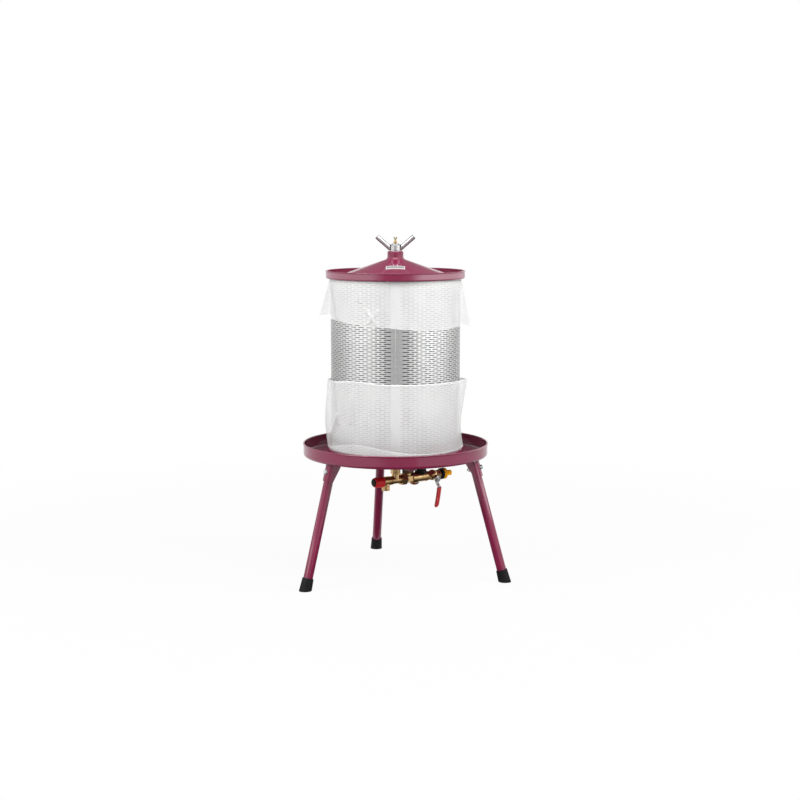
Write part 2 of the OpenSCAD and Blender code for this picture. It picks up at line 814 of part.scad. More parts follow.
// Bladder: a rubber sleeve with a neck at each end
module bladder() {
    inner = core_r + fit_gap;
    hollow_r = bladder_r - bladder_wall;
    low = bladder_z + bladder_neck;
    high = bladder_top_z - bladder_neck;
    color(black_rubber) rotate_extrude() polygon([
        [inner, bladder_z], [bladder_neck_r, bladder_z], [bladder_neck_r, low],
        [bladder_r, low + bladder_taper], [bladder_r, high - bladder_taper], [bladder_neck_r, high],
        [bladder_neck_r, bladder_top_z], [inner, bladder_top_z], [inner, high],
        [hollow_r, high - bladder_taper], [hollow_r, low + bladder_taper], [inner, low]]);
}

module bladder_clamps() {
    lift = (bladder_neck - clamp_h) / 2;
    color(zinc) for (z = [bladder_z + lift, bladder_top_z - lift - clamp_h]) translate([0, 0, z])
        ring(bladder_neck_r + fit_gap, bladder_neck_r + fit_gap + clamp_t, clamp_h);
}

// Basket: its fine slots are left out, so the sheet is plain
module basket() {
    color(steel) translate([0, 0, basket_z]) ring(basket_r - basket_wall, basket_r, basket_h, $fn = 128);
}

module basket_hoops() {
    color(steel) for (z = [basket_z, basket_top_z - hoop_h]) translate([0, 0, z])
        ring(basket_r + fit_gap, basket_r + fit_gap + hoop_t, hoop_h, $fn = 128);
}

module basket_seam() {
    color(steel) difference() {
        translate([0, -basket_r, basket_z + hoop_h]) cylinder(r = seam_r, h = basket_h - 2 * hoop_h);
        translate([-seam_r, -basket_r - fit_gap, basket_z]) cube([2 * seam_r, 2 * seam_r, basket_h]);
    }
}

// Cloth: a closed band of triangles, made of one ring of section points for each step round the axis
cloth_steps = 72;
cloth_in_r = basket_r + fit_gap + hoop_t + cloth_slack;

module cloth_band(rings) {
    n = len(rings);
    m = len(rings[0]);
    corners = [for (i = [0 : n - 1], j = [0 : m - 1])
        [i * m + j, i * m + (j + 1) % m, (i + 1) % n * m + (j + 1) % m, (i + 1) % n * m + j]];
    polyhedron([for (section = rings) each section],
        [for (c = corners) each [[c[0], c[2], c[1]], [c[0], c[3], c[2]]]]);
}

function turned(section, a) = [for (p = section) [p[0] * cos(a), p[0] * sin(a), p[1]]];

// Radius of cloth drawn tight round the basket from a side seam that stands out by a given reach:
// the straight line from the seam's tip to where it touches the round
function seam_r_at(a, reach) =
    let (off = min(abs(a % 180), 180 - abs(a % 180)), spread = acos(cloth_in_r / (cloth_in_r + reach)))
    cloth_in_r / cos(max(0, spread - off));

function wave(a, count) = (1 - cos(count * a)) / 2;

// Bag: a liner inside the basket, folded over its top into a skirt
skirt_rows = 5;
liner_r = basket_r - basket_wall - seat_gap;

function skirt_z(a, t) = bag_top_z - t * (skirt_drop + skirt_lean * cos(a) - skirt_dip * sin(a));
function skirt_r(a, t) = seam_r_at(a, skirt_ear * t) + skirt_fold * t * wave(a, skirt_folds);

function bag_section(a) =
    let (rows = [for (k = [1 : skirt_rows]) k / skirt_rows], bend = 2 * cloth_t) concat(
        [[liner_r - cloth_t, basket_z], [liner_r - cloth_t, bag_top_z],
         [cloth_in_r + cloth_t - bend, bag_top_z], [cloth_in_r + cloth_t, bag_top_z - bend]],
        [for (t = rows) [skirt_r(a, t) + cloth_t, skirt_z(a, t)]],
        [for (k = [1 : skirt_rows]) let (t = rows[skirt_rows - k]) [skirt_r(a, t), skirt_z(a, t)]],
        [[cloth_in_r, bag_under_z], [liner_r, bag_under_z], [liner_r, basket_z]]);

module press_bag() {
    color(white_cloth) cloth_band([for (k = [0 : cloth_steps - 1])
        let (a = 360 * k / cloth_steps) turned(bag_section(a), a)]);
}

// Sleeve: loose cloth round the basket's lower half, with a side seam left and right
sleeve_rows = 6;
sleeve_z = platform_z + 2 * seat_gap;
right_ear_shares = [1, 0.73, 0.48, 0.23, 0.05, 0.15, 0.43];
left_ear_shares = [0.37, 0.41, 0.53, 0.66, 0.66, 0.57, 0.37];

function sleeve_ear_at(a, row) = sleeve_ear * (cos(a) > 0 ? right_ear_shares[row] : left_ear_shares[row]);
function sleeve_r(a, row) = seam_r_at(a, sleeve_ear_at(a, row))
    + sleeve_fold * wave(a, sleeve_folds) * sin(180 * row / sleeve_rows);
function sleeve_row_z(a, row) =
    sleeve_z + (sleeve_h - sleeve_dip * sin(a)) * (1 - row / sleeve_rows);

function sleeve_section(a) = concat(
    [for (row = [0 : sleeve_rows]) [sleeve_r(a, row), sleeve_row_z(a, row)]],
    [for (k = [0 : sleeve_rows]) let (row = sleeve_rows - k)
        [sleeve_r(a, row) + cloth_t, sleeve_row_z(a, row)]]);

module splash_sleeve() {
    color(white_cloth) cloth_band([for (k = [0 : cloth_steps - 1])
        let (a = 360 * k / cloth_steps) turned(sleeve_section(a), a)]);
}

// Lid, its boss and its plate
module lid() {
    wall_in = lid_wall_mid - lid_wall / 2;
    wall_out = lid_wall_mid + lid_wall / 2;
    lip_z = lid_seat_z + lid_band_h - lid_lip_r;
    hole_r = boss_spigot_r + fit_gap;
    bend = [wall_in - lid_lip_r, cone_base_z + lid_lip_r];
    color(paint) union() {
        rotate_extrude($fn = 128) polygon(concat(
            [[hole_r, cone_z(hole_r)], [cone_base_r, cone_base_z]],
            arc(bend, lid_lip_r, -90, 0, corner_steps),
            [[wall_in, lip_z], [wall_out, lip_z]],
            arc(bend, lid_lip_r + lid_wall, 0, -90, corner_steps),
            [[cone_base_r, lid_seat_z], [hole_r, cone_z(hole_r) - lid_wall]]));
        rotate_extrude($fn = 128) translate([lid_wall_mid, lip_z]) circle(r = lid_lip_r, $fn = 32);
    }
}

module lid_boss() {
    weld_r = boss_r + boss_weld;
    low = cone_z(boss_spigot_r) - lid_wall - boss_spigot_len;
    weld_z = cone_z(boss_r) + fit_gap;
    color(paint) rotate_extrude() polygon([
        [boss_bore_r, low], [boss_spigot_r, low], [boss_spigot_r, cone_z(boss_spigot_r) + fit_gap],
        [weld_r, cone_z(weld_r) + fit_gap], [boss_r, weld_z + boss_weld],
        [boss_r, boss_top_z - boss_chamfer], [boss_r - boss_chamfer, boss_top_z],
        [boss_bore_r, boss_top_z]]);
}

module nameplate() {
    base = fit_gap;
    reach = norm([plate_in_r + plate_run, plate_w / 2]) + overrun;
    start = plate_in_r - overrun;
    color(zinc) intersection() {
        rotate_extrude($fn = 128) polygon([
            [start, cone_z(start) + base], [reach, cone_z(reach) + base],
            [reach, cone_z(reach) + base + plate_t], [start, cone_z(start) + base + plate_t]]);
        translate([-plate_w / 2, -plate_in_r - plate_run, lid_seat_z])
            cube([plate_w, plate_run, cone_rise + lid_band_h]);
    }
}

// Clamp nut with its captive washer and two rod arms
module thrust_washer() {
    color(zinc) translate([0, 0, thrust_z]) ring(stud_r + seat_gap, hub_r - hub_chamfer, thrust_t);
}

module wing_nut_hub() {
    color(zinc) translate([0, 0, hub_z]) rotate_extrude() polygon([
        [stud_r + run_gap, 0], [hub_r - hub_chamfer, 0], [hub_r, hub_chamfer],
        [hub_r, hub_h - hub_chamfer], [hub_r - hub_chamfer, hub_h], [stud_r + run_gap, hub_h]]);
}

module wing_nut_arms() {
    tip = arm_r / 4;
    color(zinc) difference() {
        for (a = [0, 180]) rotate([0, 0, a]) translate([0, 0, hub_z + arm_base])
            rotate([0, 90 - arm_rise, 0]) {
            cylinder(r = arm_r, h = arm_len - tip);
            translate([0, 0, arm_len - tip]) cylinder(r1 = arm_r, r2 = arm_r - tip, h = tip);
        }
        translate([0, 0, hub_z - hub_h - arm_len]) cylinder(r = hub_r, h = 2 * (hub_h + arm_len));
    }
}

// Fitting from the pipe down to the tee
module pipe_adapter() {
    low = manifold_z + tee_rise;
    socket_out_r = adapter_socket_r + adapter_wall;
    shoulder = low + adapter_h - adapter_wall;
    color(brass_tone) difference() {
        union() {
            translate([0, 0, low - thread_len]) cylinder(r = thread_r, h = thread_len);
            translate([0, 0, low]) hexagon(adapter_af, shoulder - low);
            translate([0, 0, shoulder]) cylinder(r = socket_out_r, h = adapter_top_z - shoulder);
        }
        translate([0, 0, low - thread_len - overrun])
            cylinder(r = run_bore, h = adapter_h + thread_len + 2 * overrun);
        translate([0, 0, low + adapter_h])
            cylinder(r = adapter_socket_r, h = adapter_socket + fit_gap + overrun);
    }
}

module manifold_tee() {
    color(brass_tone) at_manifold() difference() {
        union() {
            along(-tee_half) cylinder(r = tee_r, h = 2 * tee_half);
            for (x = [-tee_half, tee_half - tee_band_len]) along(x)
                cylinder(r = tee_band_r, h = tee_band_len);
            cylinder(r = tee_r, h = tee_rise);
        }
        along(-tee_half - overrun) cylinder(r = run_bore, h = 2 * (tee_half + overrun));
        cylinder(r = run_bore, h = tee_rise + overrun);
        for (x = [-tee_half - overrun, tee_half - thread_len])
            along(x) cylinder(r = socket_r, h = thread_len + overrun);
        translate([0, 0, tee_rise - thread_len]) cylinder(r = socket_r, h = thread_len + overrun);
    }
}

module union_nut() {
    color(brass_tone) at_manifold() along(union_x) difference() {
        rotate([0, 0, 30]) hexagon(union_af, union_len);
        translate([0, 0, -overrun]) cylinder(r = socket_r, h = union_len + 2 * overrun);
    }
}

module hex_nipple() {
    start = union_x - thread_len + fit_gap;
    color(brass_tone) at_manifold() difference() {
        union() {
            along(start) cylinder(r = thread_r, h = limiter_x + thread_len - fit_gap - start);
            along(nipple_x) hexagon(nipple_af, nipple_len);
            translate([port_x, 0, 0]) cylinder(r = side_port_r, h = port_z);
        }
        translate([port_x, 0, 0]) cylinder(r = port_thread_r + fit_gap, h = port_z + overrun);
        along(start - overrun) cylinder(r = run_bore, h = limiter_x + thread_len - start + 2 * overrun);
    }
}

// Cap that closes the port on the nipple
module port_cap() {
    spigot = port_z - run_bore - overrun;
    color(brass_tone) at_manifold() translate([port_x, 0, port_z]) {
        translate([0, 0, -spigot]) cylinder(r = port_thread_r, h = spigot);
        hexagon(port_cap_af, port_cap_h);
    }
}

// Safety valve: seat, chamber with a side outlet, and a bonnet that guides the spindle
module relief_body() {
    spigot_x = thread_len - fit_gap - tee_half;
    color(brass_tone) at_manifold() difference() {
        union() {
            along(relief_neck_x) cylinder(r = thread_r, h = spigot_x - relief_neck_x);
            along(relief_neck_x) cylinder(r = tee_r, h = relief_neck);
            along(relief_left_x) cylinder(r = relief_r, h = relief_len);
            along(relief_bonnet_x) cylinder(r = relief_bonnet_r, h = relief_bonnet);
            translate([outlet_x, 0, -outlet_drop]) cylinder(r = outlet_r, h = outlet_drop);
        }
        along(relief_seat_x - overrun)
            cylinder(r = run_bore - fit_gap, h = spigot_x - relief_seat_x + 2 * overrun);
        along(relief_guide_x) cylinder(r = relief_chamber_r, h = relief_seat_x - relief_guide_x);
        along(relief_bonnet_x - overrun)
            cylinder(r = disc_spindle_r + run_gap, h = relief_seat_t + 2 * overrun);
        translate([outlet_x, 0, -outlet_drop - overrun])
            cylinder(r = outlet_bore_r, h = outlet_bore_len + overrun);
        translate([outlet_x, 0, -outlet_drop]) cylinder(r = outlet_way_r, h = outlet_drop);
    }
}

module relief_disc() {
    color(zinc) at_manifold() {
        along(disc_x - disc_t) cylinder(r = disc_r, h = disc_t);
        along(disc_end_x) cylinder(r = disc_spindle_r, h = disc_x - disc_t - disc_end_x);
    }
}

// Coil spring: one tube of six sides along a helix, eight rings to a curl
wire_sides = 6;
curl_rings = 8;

function wire_ring(mid_r, wire_r, turns, h, k) =
    let (a = 360 * k / curl_rings, z = wire_r + (h - 2 * wire_r) * k / (curl_rings * turns))
    [for (s = [0 : wire_sides - 1]) let (b = 360 * s / wire_sides, r = mid_r + wire_r * cos(b))
        [r * cos(a), r * sin(a), z + wire_r * sin(b)]];

module spring(mid_r, wire_r, turns, h) {
    rings = curl_rings * turns;
    m = wire_sides;
    echo(least_gap = (h - 2 * wire_r) / turns - 2 * wire_r);
    polyhedron(
        [for (k = [0 : rings]) each wire_ring(mid_r, wire_r, turns, h, k)],
        concat(
            [for (k = [0 : rings - 1], s = [0 : m - 1]) each let (n = (s + 1) % m)
                [[k * m + s, (k + 1) * m + n, k * m + n], [k * m + s, (k + 1) * m + s, (k + 1) * m + n]]],
            [for (s = [1 : m - 2]) [0, s, s + 1]],
            [for (s = [1 : m - 2]) [rings * m, rings * m + s + 1, rings * m + s]]));
}

relief_wire_r = 0.7;
relief_turns = 5;
limiter_wire_r = 0.9;
limiter_turns = 4;

module relief_spring() {
    start = relief_guide_x + fit_gap;
    color(steel) at_manifold() along(start)
        spring((disc_spindle_r + relief_chamber_r) / 2, relief_wire_r, relief_turns,
            disc_x - disc_t - fit_gap - start);
}

module relief_cap() {
    inner_r = relief_bonnet_r + run_gap;
    color(red_tone) at_manifold() difference() {
        along(relief_cap_x) cylinder(r1 = relief_cap_end_r, r2 = relief_cap_r, h = relief_cap_len - fit_gap);
        along(relief_cap_x + relief_cap_end_t) cylinder(r = inner_r, h = relief_cap_len);
    }
}

module relief_tip() {
    color(black_rubber) at_manifold() along(relief_cap_x - relief_tip_t)
        cylinder(r = relief_tip_r, h = relief_tip_t);
}

// Pressure limiter: barrel, piston under a spring, and a black bonnet
module limiter_body() {
    color(brass_tone) at_manifold() difference() {
        union() {
            difference() {
                along(limiter_x) cylinder(r = limiter_r, h = limiter_len);
                translate([bonnet_x, 0, bonnet_base - fit_gap])
                    cylinder(r = bonnet_r + seat_gap, h = limiter_r);
            }
            for (x = [limiter_x, valve_x - limiter_collar_len])
                along(x) cylinder(r = limiter_collar_r, h = limiter_collar_len);
            along(valve_x) cylinder(r = thread_r, h = thread_len - fit_gap);
            translate([bonnet_x, 0, 0]) cylinder(r = bonnet_boss_r, h = bonnet_boss_z);
            translate([drain_x, 0, drain_z]) cylinder(r = drain_boss_r, h = -drain_z);
        }
        along(limiter_x - overrun) cylinder(r = run_bore, h = limiter_len + thread_len + 2 * overrun);
        along(limiter_x - overrun) cylinder(r = socket_r, h = thread_len + overrun);
        translate([bonnet_x, 0, 0]) cylinder(r = run_bore - fit_gap, h = bonnet_boss_z);
        translate([bonnet_x, 0, piston_base - fit_gap])
            cylinder(r = piston_r + run_gap, h = bonnet_boss_z + overrun);
        translate([drain_x, 0, drain_z - overrun])
            cylinder(r = drain_thread_r + fit_gap, h = overrun - drain_z);
    }
}

module limiter_bonnet() {
    color(black_rubber) at_manifold() translate([bonnet_x, 0, bonnet_base]) difference() {
        cylinder(r = bonnet_r, h = bonnet_h);
        translate([0, 0, -overrun])
            cylinder(r = bonnet_boss_r + fit_gap, h = bonnet_boss_z - bonnet_base + fit_gap + overrun);
        cylinder(r = bonnet_chamber_r, h = bonnet_h - bonnet_top_t);
    }
}

module limiter_piston() {
    color(brass_tone) at_manifold() translate([bonnet_x, 0, piston_base])
        cylinder(r = piston_r, h = piston_h);
}

module limiter_spring() {
    low = piston_base + piston_h + fit_gap;
    color(steel) at_manifold() translate([bonnet_x, 0, low])
        spring(piston_r - 2 * limiter_wire_r, limiter_wire_r, limiter_turns,
            bonnet_base + bonnet_h - bonnet_top_t - fit_gap - low);
}

module drain_plug() {
    dome_r = (drain_r * drain_r + drain_h * drain_h) / (2 * drain_h);
    open = asin(drain_r / dome_r);
    color(paint) at_manifold() translate([drain_x, 0, drain_z]) {
        cylinder(r = drain_thread_r, h = limiter_r - run_bore);
        rotate_extrude() polygon(concat(
            [[0, 0]], arc([0, dome_r - drain_h], dome_r, open - 90, -90, belly_steps)));
    }
}

// Ball valve: the ball's bore stands across the run while the lever hangs down and the valve is shut
module valve_body() {
    half_turn = acos(valve_af / 2 / valve_r);
    belly = arc([0, valve_len / 2], valve_r, -half_turn, half_turn, belly_steps);
    color(brass_tone) at_valve() difference() {
        union() {
            for (x = [valve_x, valve_end_x - valve_hex_len]) along(x) hexagon(valve_af, valve_hex_len);
            along(valve_x) rotate_extrude() polygon(concat(
                [[0, 0], [valve_af / 2, 0]], belly, [[valve_af / 2, valve_len], [0, valve_len]]));
            along(valve_end_x) cylinder(r = valve_thread_r, h = valve_thread_len);
            outwards(ball_x, 0) cylinder(r = housing_r, h = housing_out);
        }
        along(valve_x - overrun) cylinder(r = ball_bore, h = valve_len + valve_thread_len + 2 * overrun);
        along(valve_x - overrun) cylinder(r = socket_r, h = thread_len + overrun);
        along(ball_x - seat_out - fit_gap) cylinder(r = seat_r + fit_gap, h = 2 * (seat_out + fit_gap));
        outwards(ball_x, 0) cylinder(r = stem_r + run_gap, h = housing_out + overrun);
    }
}

module valve_ball() {
    color(steel) at_lever() difference() {
        translate([ball_x, 0, 0]) sphere(r = ball_r);
        translate([ball_x, 0, -ball_r - overrun]) cylinder(r = ball_bore, h = 2 * (ball_r + overrun));
        translate([ball_x - slot_w / 2, -ball_r - overrun, -slot_len / 2])
            cube([slot_w, slot_depth + overrun, slot_len]);
    }
}

module valve_seats() {
    color(white_seal) at_valve() difference() {
        for (x = [ball_x - seat_out, ball_x + ball_bore]) along(x)
            cylinder(r = seat_r, h = seat_out - ball_bore);
        along(ball_x - seat_out - overrun) cylinder(r = ball_bore, h = 2 * (seat_out + overrun));
        translate([ball_x, 0, 0]) sphere(r = ball_r + run_gap);
    }
}

module valve_stem() {
    tang_out = ball_r - slot_depth;
    color(zinc) at_lever() {
        translate([ball_x - slot_w / 2 + fit_gap, -ball_r, -slot_len / 2 + fit_gap])
            cube([slot_w - 2 * fit_gap, ball_r - tang_out - fit_gap, slot_len - 2 * fit_gap]);
        outwards(ball_x, ball_r) cylinder(r = stem_r, h = stem_end_y - ball_r);
    }
}

// Side view of the lever as a strip of a given half thickness: [distance outwards, height]
lever_top_share = 0.14;
lever_bend_share = 0.235;

function lever_strip(from_share, half, past) =
    let (mid = lever_y + lever_t / 2, out = mid + lever_crank, back = out - lever_back,
         top = -lever_len * lever_top_share, bend = -lever_len * lever_bend_share, end = -lever_len - past,
         line = from_share == 0 ? [[mid, 0], [mid, top], [out, bend], [back, end]]
             : [[out, bend], [back, end]])
    concat([for (p = line) [p[0] - half, p[1]]],
        [for (k = [len(line) - 1 : -1 : 0]) [line[k][0] + half, line[k][1]]]);

module side_strip(outline, width) {
    translate([ball_x - width / 2, 0, 0]) rotate([90, 0, 90]) linear_extrude(width)
        polygon([for (p = outline) [-p[0], p[1]]]);
}

module valve_lever() {
    color(zinc) at_lever() difference() {
        union() {
            side_strip(lever_strip(0, lever_t / 2, 0), lever_w);
            outwards(ball_x, lever_y) cylinder(r = lever_eye_r, h = lever_t);
        }
        outwards(ball_x, lever_y - overrun) cylinder(r = stem_r + fit_gap, h = lever_t + 2 * overrun);
    }
}

module lever_grip() {
    half = lever_t / 2;
    color(red_tone) at_lever() difference() {
        side_strip(lever_strip(1, half + grip_t, grip_t), lever_w + 2 * grip_t);
        side_strip(lever_strip(0, half + fit_gap, fit_gap), lever_w + 2 * fit_gap);
    }
}

module lever_nut() {
    color(zinc) at_lever() outwards(ball_x, lever_nut_y) difference() {
        hexagon(lever_nut_af, lever_nut_h);
        translate([0, 0, -overrun]) cylinder(r = stem_r + fit_gap, h = lever_nut_h + 2 * overrun);
    }
}

// Hose connector with its black ring
module connector_ring() {
    color(black_rubber) at_manifold() along(ring_x)
        ring(valve_thread_r + fit_gap, collar_r, ring_len - fit_gap);
}

module hose_connector() {
    socket = valve_end_x + valve_thread_len + fit_gap - collar_x;
    color(yellow_tone) at_manifold() along(collar_x) difference() {
        union() {
            cylinder(r = collar_r, h = collar_len);
            translate([0, 0, collar_len]) cylinder(r = nose_r, h = nose_len);
        }
        translate([0, 0, -overrun]) cylinder(r = valve_thread_r + fit_gap, h = socket + overrun);
        translate([0, 0, -overrun]) cylinder(r = run_bore, h = collar_len + nose_len + 2 * overrun);
        for (k = [1 : collar_ribs]) rotate([0, 0, 360 * k / collar_ribs])
            translate([collar_r, 0, -overrun]) cylinder(r = rib_depth, h = collar_len + 2 * overrun);
    }
}

tray();
juice_spout();
leg_bracket(leg_angles[0]);  // leg_bracket_rear
leg_bracket(leg_angles[1]);  // leg_bracket_left
leg_bracket(leg_angles[2]);  // leg_bracket_right
leg(leg_angles[0]);  // leg_rear
leg(leg_angles[1]);  // leg_left
leg(leg_angles[2]);  // leg_right
foot(leg_angles[0]);  // foot_rear
foot(leg_angles[1]);  // foot_left
foot(leg_angles[2]);  // foot_right
leg_bolts();
leg_nuts();
leg_washers();
core_pipe();
core_gasket();
core_washer();
core_locknut();
core_stud();
vent_body();
vent_key();
bladder();
bladder_clamps();
basket();
basket_hoops();
basket_seam();
press_bag();
splash_sleeve();
lid();
lid_boss();
nameplate();
thrust_washer();
wing_nut_hub();
wing_nut_arms();
pipe_adapter();
manifold_tee();
union_nut();
hex_nipple();
port_cap();
relief_body();
relief_disc();
relief_spring();
relief_cap();
relief_tip();
limiter_body();
limiter_bonnet();
limiter_piston();
limiter_spring();
drain_plug();
valve_body();
valve_ball();
valve_seats();
valve_stem();
valve_lever();
lever_grip();
lever_nut();
connector_ring();
hose_connector();
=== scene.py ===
import math

import bmesh
import bpy
import numpy as np
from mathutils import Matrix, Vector


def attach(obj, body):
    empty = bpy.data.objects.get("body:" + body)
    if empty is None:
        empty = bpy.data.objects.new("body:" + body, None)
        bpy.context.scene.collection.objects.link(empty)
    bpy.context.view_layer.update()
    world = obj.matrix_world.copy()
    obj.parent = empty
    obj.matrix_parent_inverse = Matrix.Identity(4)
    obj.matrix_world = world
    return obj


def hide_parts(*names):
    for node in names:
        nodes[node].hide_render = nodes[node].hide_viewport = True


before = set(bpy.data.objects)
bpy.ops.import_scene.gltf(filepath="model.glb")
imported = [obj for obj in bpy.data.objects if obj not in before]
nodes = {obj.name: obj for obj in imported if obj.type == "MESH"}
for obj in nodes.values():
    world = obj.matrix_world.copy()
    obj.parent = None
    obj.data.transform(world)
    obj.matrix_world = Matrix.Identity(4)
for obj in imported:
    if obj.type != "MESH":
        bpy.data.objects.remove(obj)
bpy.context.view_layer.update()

tau = 2 * math.pi
print("press: frame loaded with", len(nodes), "nodes")


# meshes


def meshPiece(name, points, faces, material, body, stands=(), uv=None, sharpAt=40):
    # points and faces become one object at the origin; edges sharper than sharpAt degrees stay crisp
    mesh = bpy.data.meshes.new(name)
    mesh.from_pydata(points.reshape(-1, 3).tolist(), [], faces.tolist())
    if uv is not None:
        layer = mesh.uv_layers.new(name="cut")
        layer.data.foreach_set("uv", uv.reshape(-1, 2)[faces.ravel()].astype(np.float32).ravel())
    mesh.polygons.foreach_set("use_smooth", np.ones(len(mesh.polygons), bool))
    mesh.set_sharp_from_angle(angle=math.radians(sharpAt))
    mesh.update()
    piece = bpy.data.objects.new(name, mesh)
    bpy.context.scene.collection.objects.link(piece)
    mesh.materials.append(material)
    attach(piece, body)
    if stands:
        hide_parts(*stands)
    return piece


def gridFaces(rows, columns, closeRows=False, closeColumns=False):
    # quads between neighbours of a grid whose columns run along the surface's right and rows up
    i = np.arange(rows if closeRows else rows - 1)[:, None]
    j = np.arange(columns if closeColumns else columns - 1)[None, :]
    up, right = (i + 1) % rows, (j + 1) % columns
    quads = np.stack([i * columns + j, i * columns + right, up * columns + right, up * columns + j], -1)
    return quads.reshape(-1, 4)


def roundPoints(angle, radius, z):
    # x = radius cos(angle), y = radius sin(angle)
    angle, radius, z = np.broadcast_arrays(angle, radius, z)
    return np.stack([radius * np.cos(angle), radius * np.sin(angle), z], -1)


def closeUp(piece, outward=True):
    # poles and seams are merged, and a closed shell's faces are turned outwards
    work = bmesh.new()
    work.from_mesh(piece.data)
    bmesh.ops.remove_doubles(work, verts=work.verts, dist=1e-6)
    if outward:
        bmesh.ops.recalc_face_normals(work, faces=work.faces)
    work.to_mesh(piece.data)
    work.free()
    piece.data.set_sharp_from_angle(angle=math.radians(40))
    return piece


# shader building

vectorKind, numberKind = "NodeSocketVector", "NodeSocketFloat"


def addNode(tree, kind, inputs=None, **settings):
    node = tree.nodes.new(kind)
    for key, value in settings.items():
        setattr(node, key, value)
    for key, value in (inputs or {}).items():
        if isinstance(value, bpy.types.NodeSocket):
            tree.links.new(value, node.inputs[key])
        else:
            node.inputs[key].default_value = value
    return node


def useGroup(tree, group, inputs):
    return addNode(tree, "ShaderNodeGroup", inputs, node_tree=group)


def calc(tree, operation, first, second=0.0, third=None):
    inputs = {0: first, 1: second}
    if third is not None:
        inputs[2] = third
    return addNode(tree, "ShaderNodeMath", inputs, operation=operation).outputs[0]


def spread(tree, value, low, high, fromLow=0.0, fromHigh=1.0):
    node = addNode(tree, "ShaderNodeMapRange", {"Value": value, "From Min": fromLow, "From Max": fromHigh,
                                                "To Min": low, "To Max": high})
    return node.outputs["Result"]


def noise(tree, vector, scale, detail, roughness=0.5):
    node = addNode(tree, "ShaderNodeTexNoise", {"Vector": vector, "Scale": scale, "Detail": detail,
                                                "Roughness": roughness})
    return node.outputs["Fac"]


def drawnOut(tree, vector, by):
    return addNode(tree, "ShaderNodeVectorMath", {0: vector, 1: by}, operation="MULTIPLY").outputs[0]


def separate(tree, vector):
    return addNode(tree, "ShaderNodeSeparateXYZ", {0: vector}).outputs


def mixColour(tree, factor, first, second):
    node = addNode(tree, "ShaderNodeMix", {0: factor, 6: first, 7: second}, data_type="RGBA")
    return node.outputs[2]


def coords(tree, kind="Object"):
    return addNode(tree, "ShaderNodeTexCoord").outputs[kind]


def bumpInto(tree, shader, height, strength, distance):
    bump = addNode(tree, "ShaderNodeBump", {"Height": height, "Strength": strength, "Distance": distance})
    tree.links.new(bump.outputs["Normal"], shader.inputs["Normal"])


def newGroup(name, inputs, outputs):
    # a shader group whose first input is a vector and whose outputs are numbers
    group = bpy.data.node_groups.new(name, "ShaderNodeTree")
    group.interface.new_socket("Vector", in_out="INPUT", socket_type=vectorKind)
    for label, kind, start in inputs:
        group.interface.new_socket(label, in_out="INPUT", socket_type=kind).default_value = start
    for label in outputs:
        group.interface.new_socket(label, in_out="OUTPUT", socket_type=numberKind)
    return group, group.nodes.new("NodeGroupInput").outputs, group.nodes.new("NodeGroupOutput").inputs


def makeFinishGroup():
    # broad patches of tone and a fine grain, both 0 to 1, and the grain as a height
    scales = [("Patch Scale", numberKind, 9.0), ("Grain Scale", numberKind, 900.0)]
    group, start, end = newGroup("finishPatches", scales, ["Patch", "Grain", "Height"])
    broad = noise(group, start["Vector"], start["Patch Scale"], 3.0, 0.55)
    fine = noise(group, start["Vector"], start["Grain Scale"], 2.0)
    group.links.new(spread(group, broad, 0.0, 1.0, 0.3, 0.7), end["Patch"])
    group.links.new(spread(group, fine, 0.0, 1.0, 0.3, 0.7), end["Grain"])
    group.links.new(fine, end["Height"])
    return group


def makeBrushGroup():
    # fine lines: noise drawn out along one direction by squeezing the vector
    group, start, end = newGroup("brushLines", [("Stretch", vectorKind, (6.0, 900.0, 900.0))], ["Line", "Band"])
    drawn = drawnOut(group, start["Vector"], start["Stretch"])
    lines = noise(group, drawn, 1.0, 2.0)
    bands = noise(group, drawnOut(group, drawn, (0.12, 0.12, 0.12)), 1.0, 1.0)
    group.links.new(spread(group, lines, 0.0, 1.0, 0.25, 0.75), end["Line"])
    group.links.new(spread(group, bands, 0.0, 1.0, 0.3, 0.7), end["Band"])
    return group


finishGroup = makeFinishGroup()
brushGroup = makeBrushGroup()


# finishes


def newMaterial(name, look):
    # a Principled material whose constants go straight on the shader's sockets
    material = bpy.data.materials.new(name)
    material.use_nodes = True
    tree = material.node_tree
    shader = tree.nodes["Principled BSDF"]
    for key, value in look.items():
        shader.inputs[key].default_value = value
    return material, tree, shader


def coatedFinish(name, tones, rough, patchScale, grainScale, bump=(0.05, 0.0002), **look):
    # two tones mixed by broad patches, roughness by the grain, and the grain as bump
    material, tree, shader = newMaterial(name, look)
    grain = useGroup(tree, finishGroup, {"Vector": coords(tree), "Patch Scale": patchScale, "Grain Scale": grainScale})
    colour = mixColour(tree, grain.outputs["Patch"], (*tones[0], 1), (*tones[1], 1))
    tree.links.new(colour, shader.inputs["Base Color"])
    tree.links.new(spread(tree, grain.outputs["Grain"], *rough), shader.inputs["Roughness"])
    bumpInto(tree, shader, grain.outputs["Height"], *bump)
    return material


def brushedFinish(name, tones, rough, stretch, kind="Object", bump=(0.04, 0.0002)):
    # metal drawn along one direction: lines move the roughness and the tone
    material, tree, shader = newMaterial(name, {"Metallic": 1.0})
    brush = useGroup(tree, brushGroup, {"Vector": coords(tree, kind), "Stretch": stretch})
    colour = mixColour(tree, brush.outputs["Band"], (*tones[0], 1), (*tones[1], 1))
    tree.links.new(colour, shader.inputs["Base Color"])
    tree.links.new(spread(tree, brush.outputs["Line"], *rough), shader.inputs["Roughness"])
    bumpInto(tree, shader, brush.outputs["Line"], *bump)
    return material


def greys(low, high):
    return (low, low, low), (high, high, high)


def gloss(level):
    return {"Specular IOR Level": level}


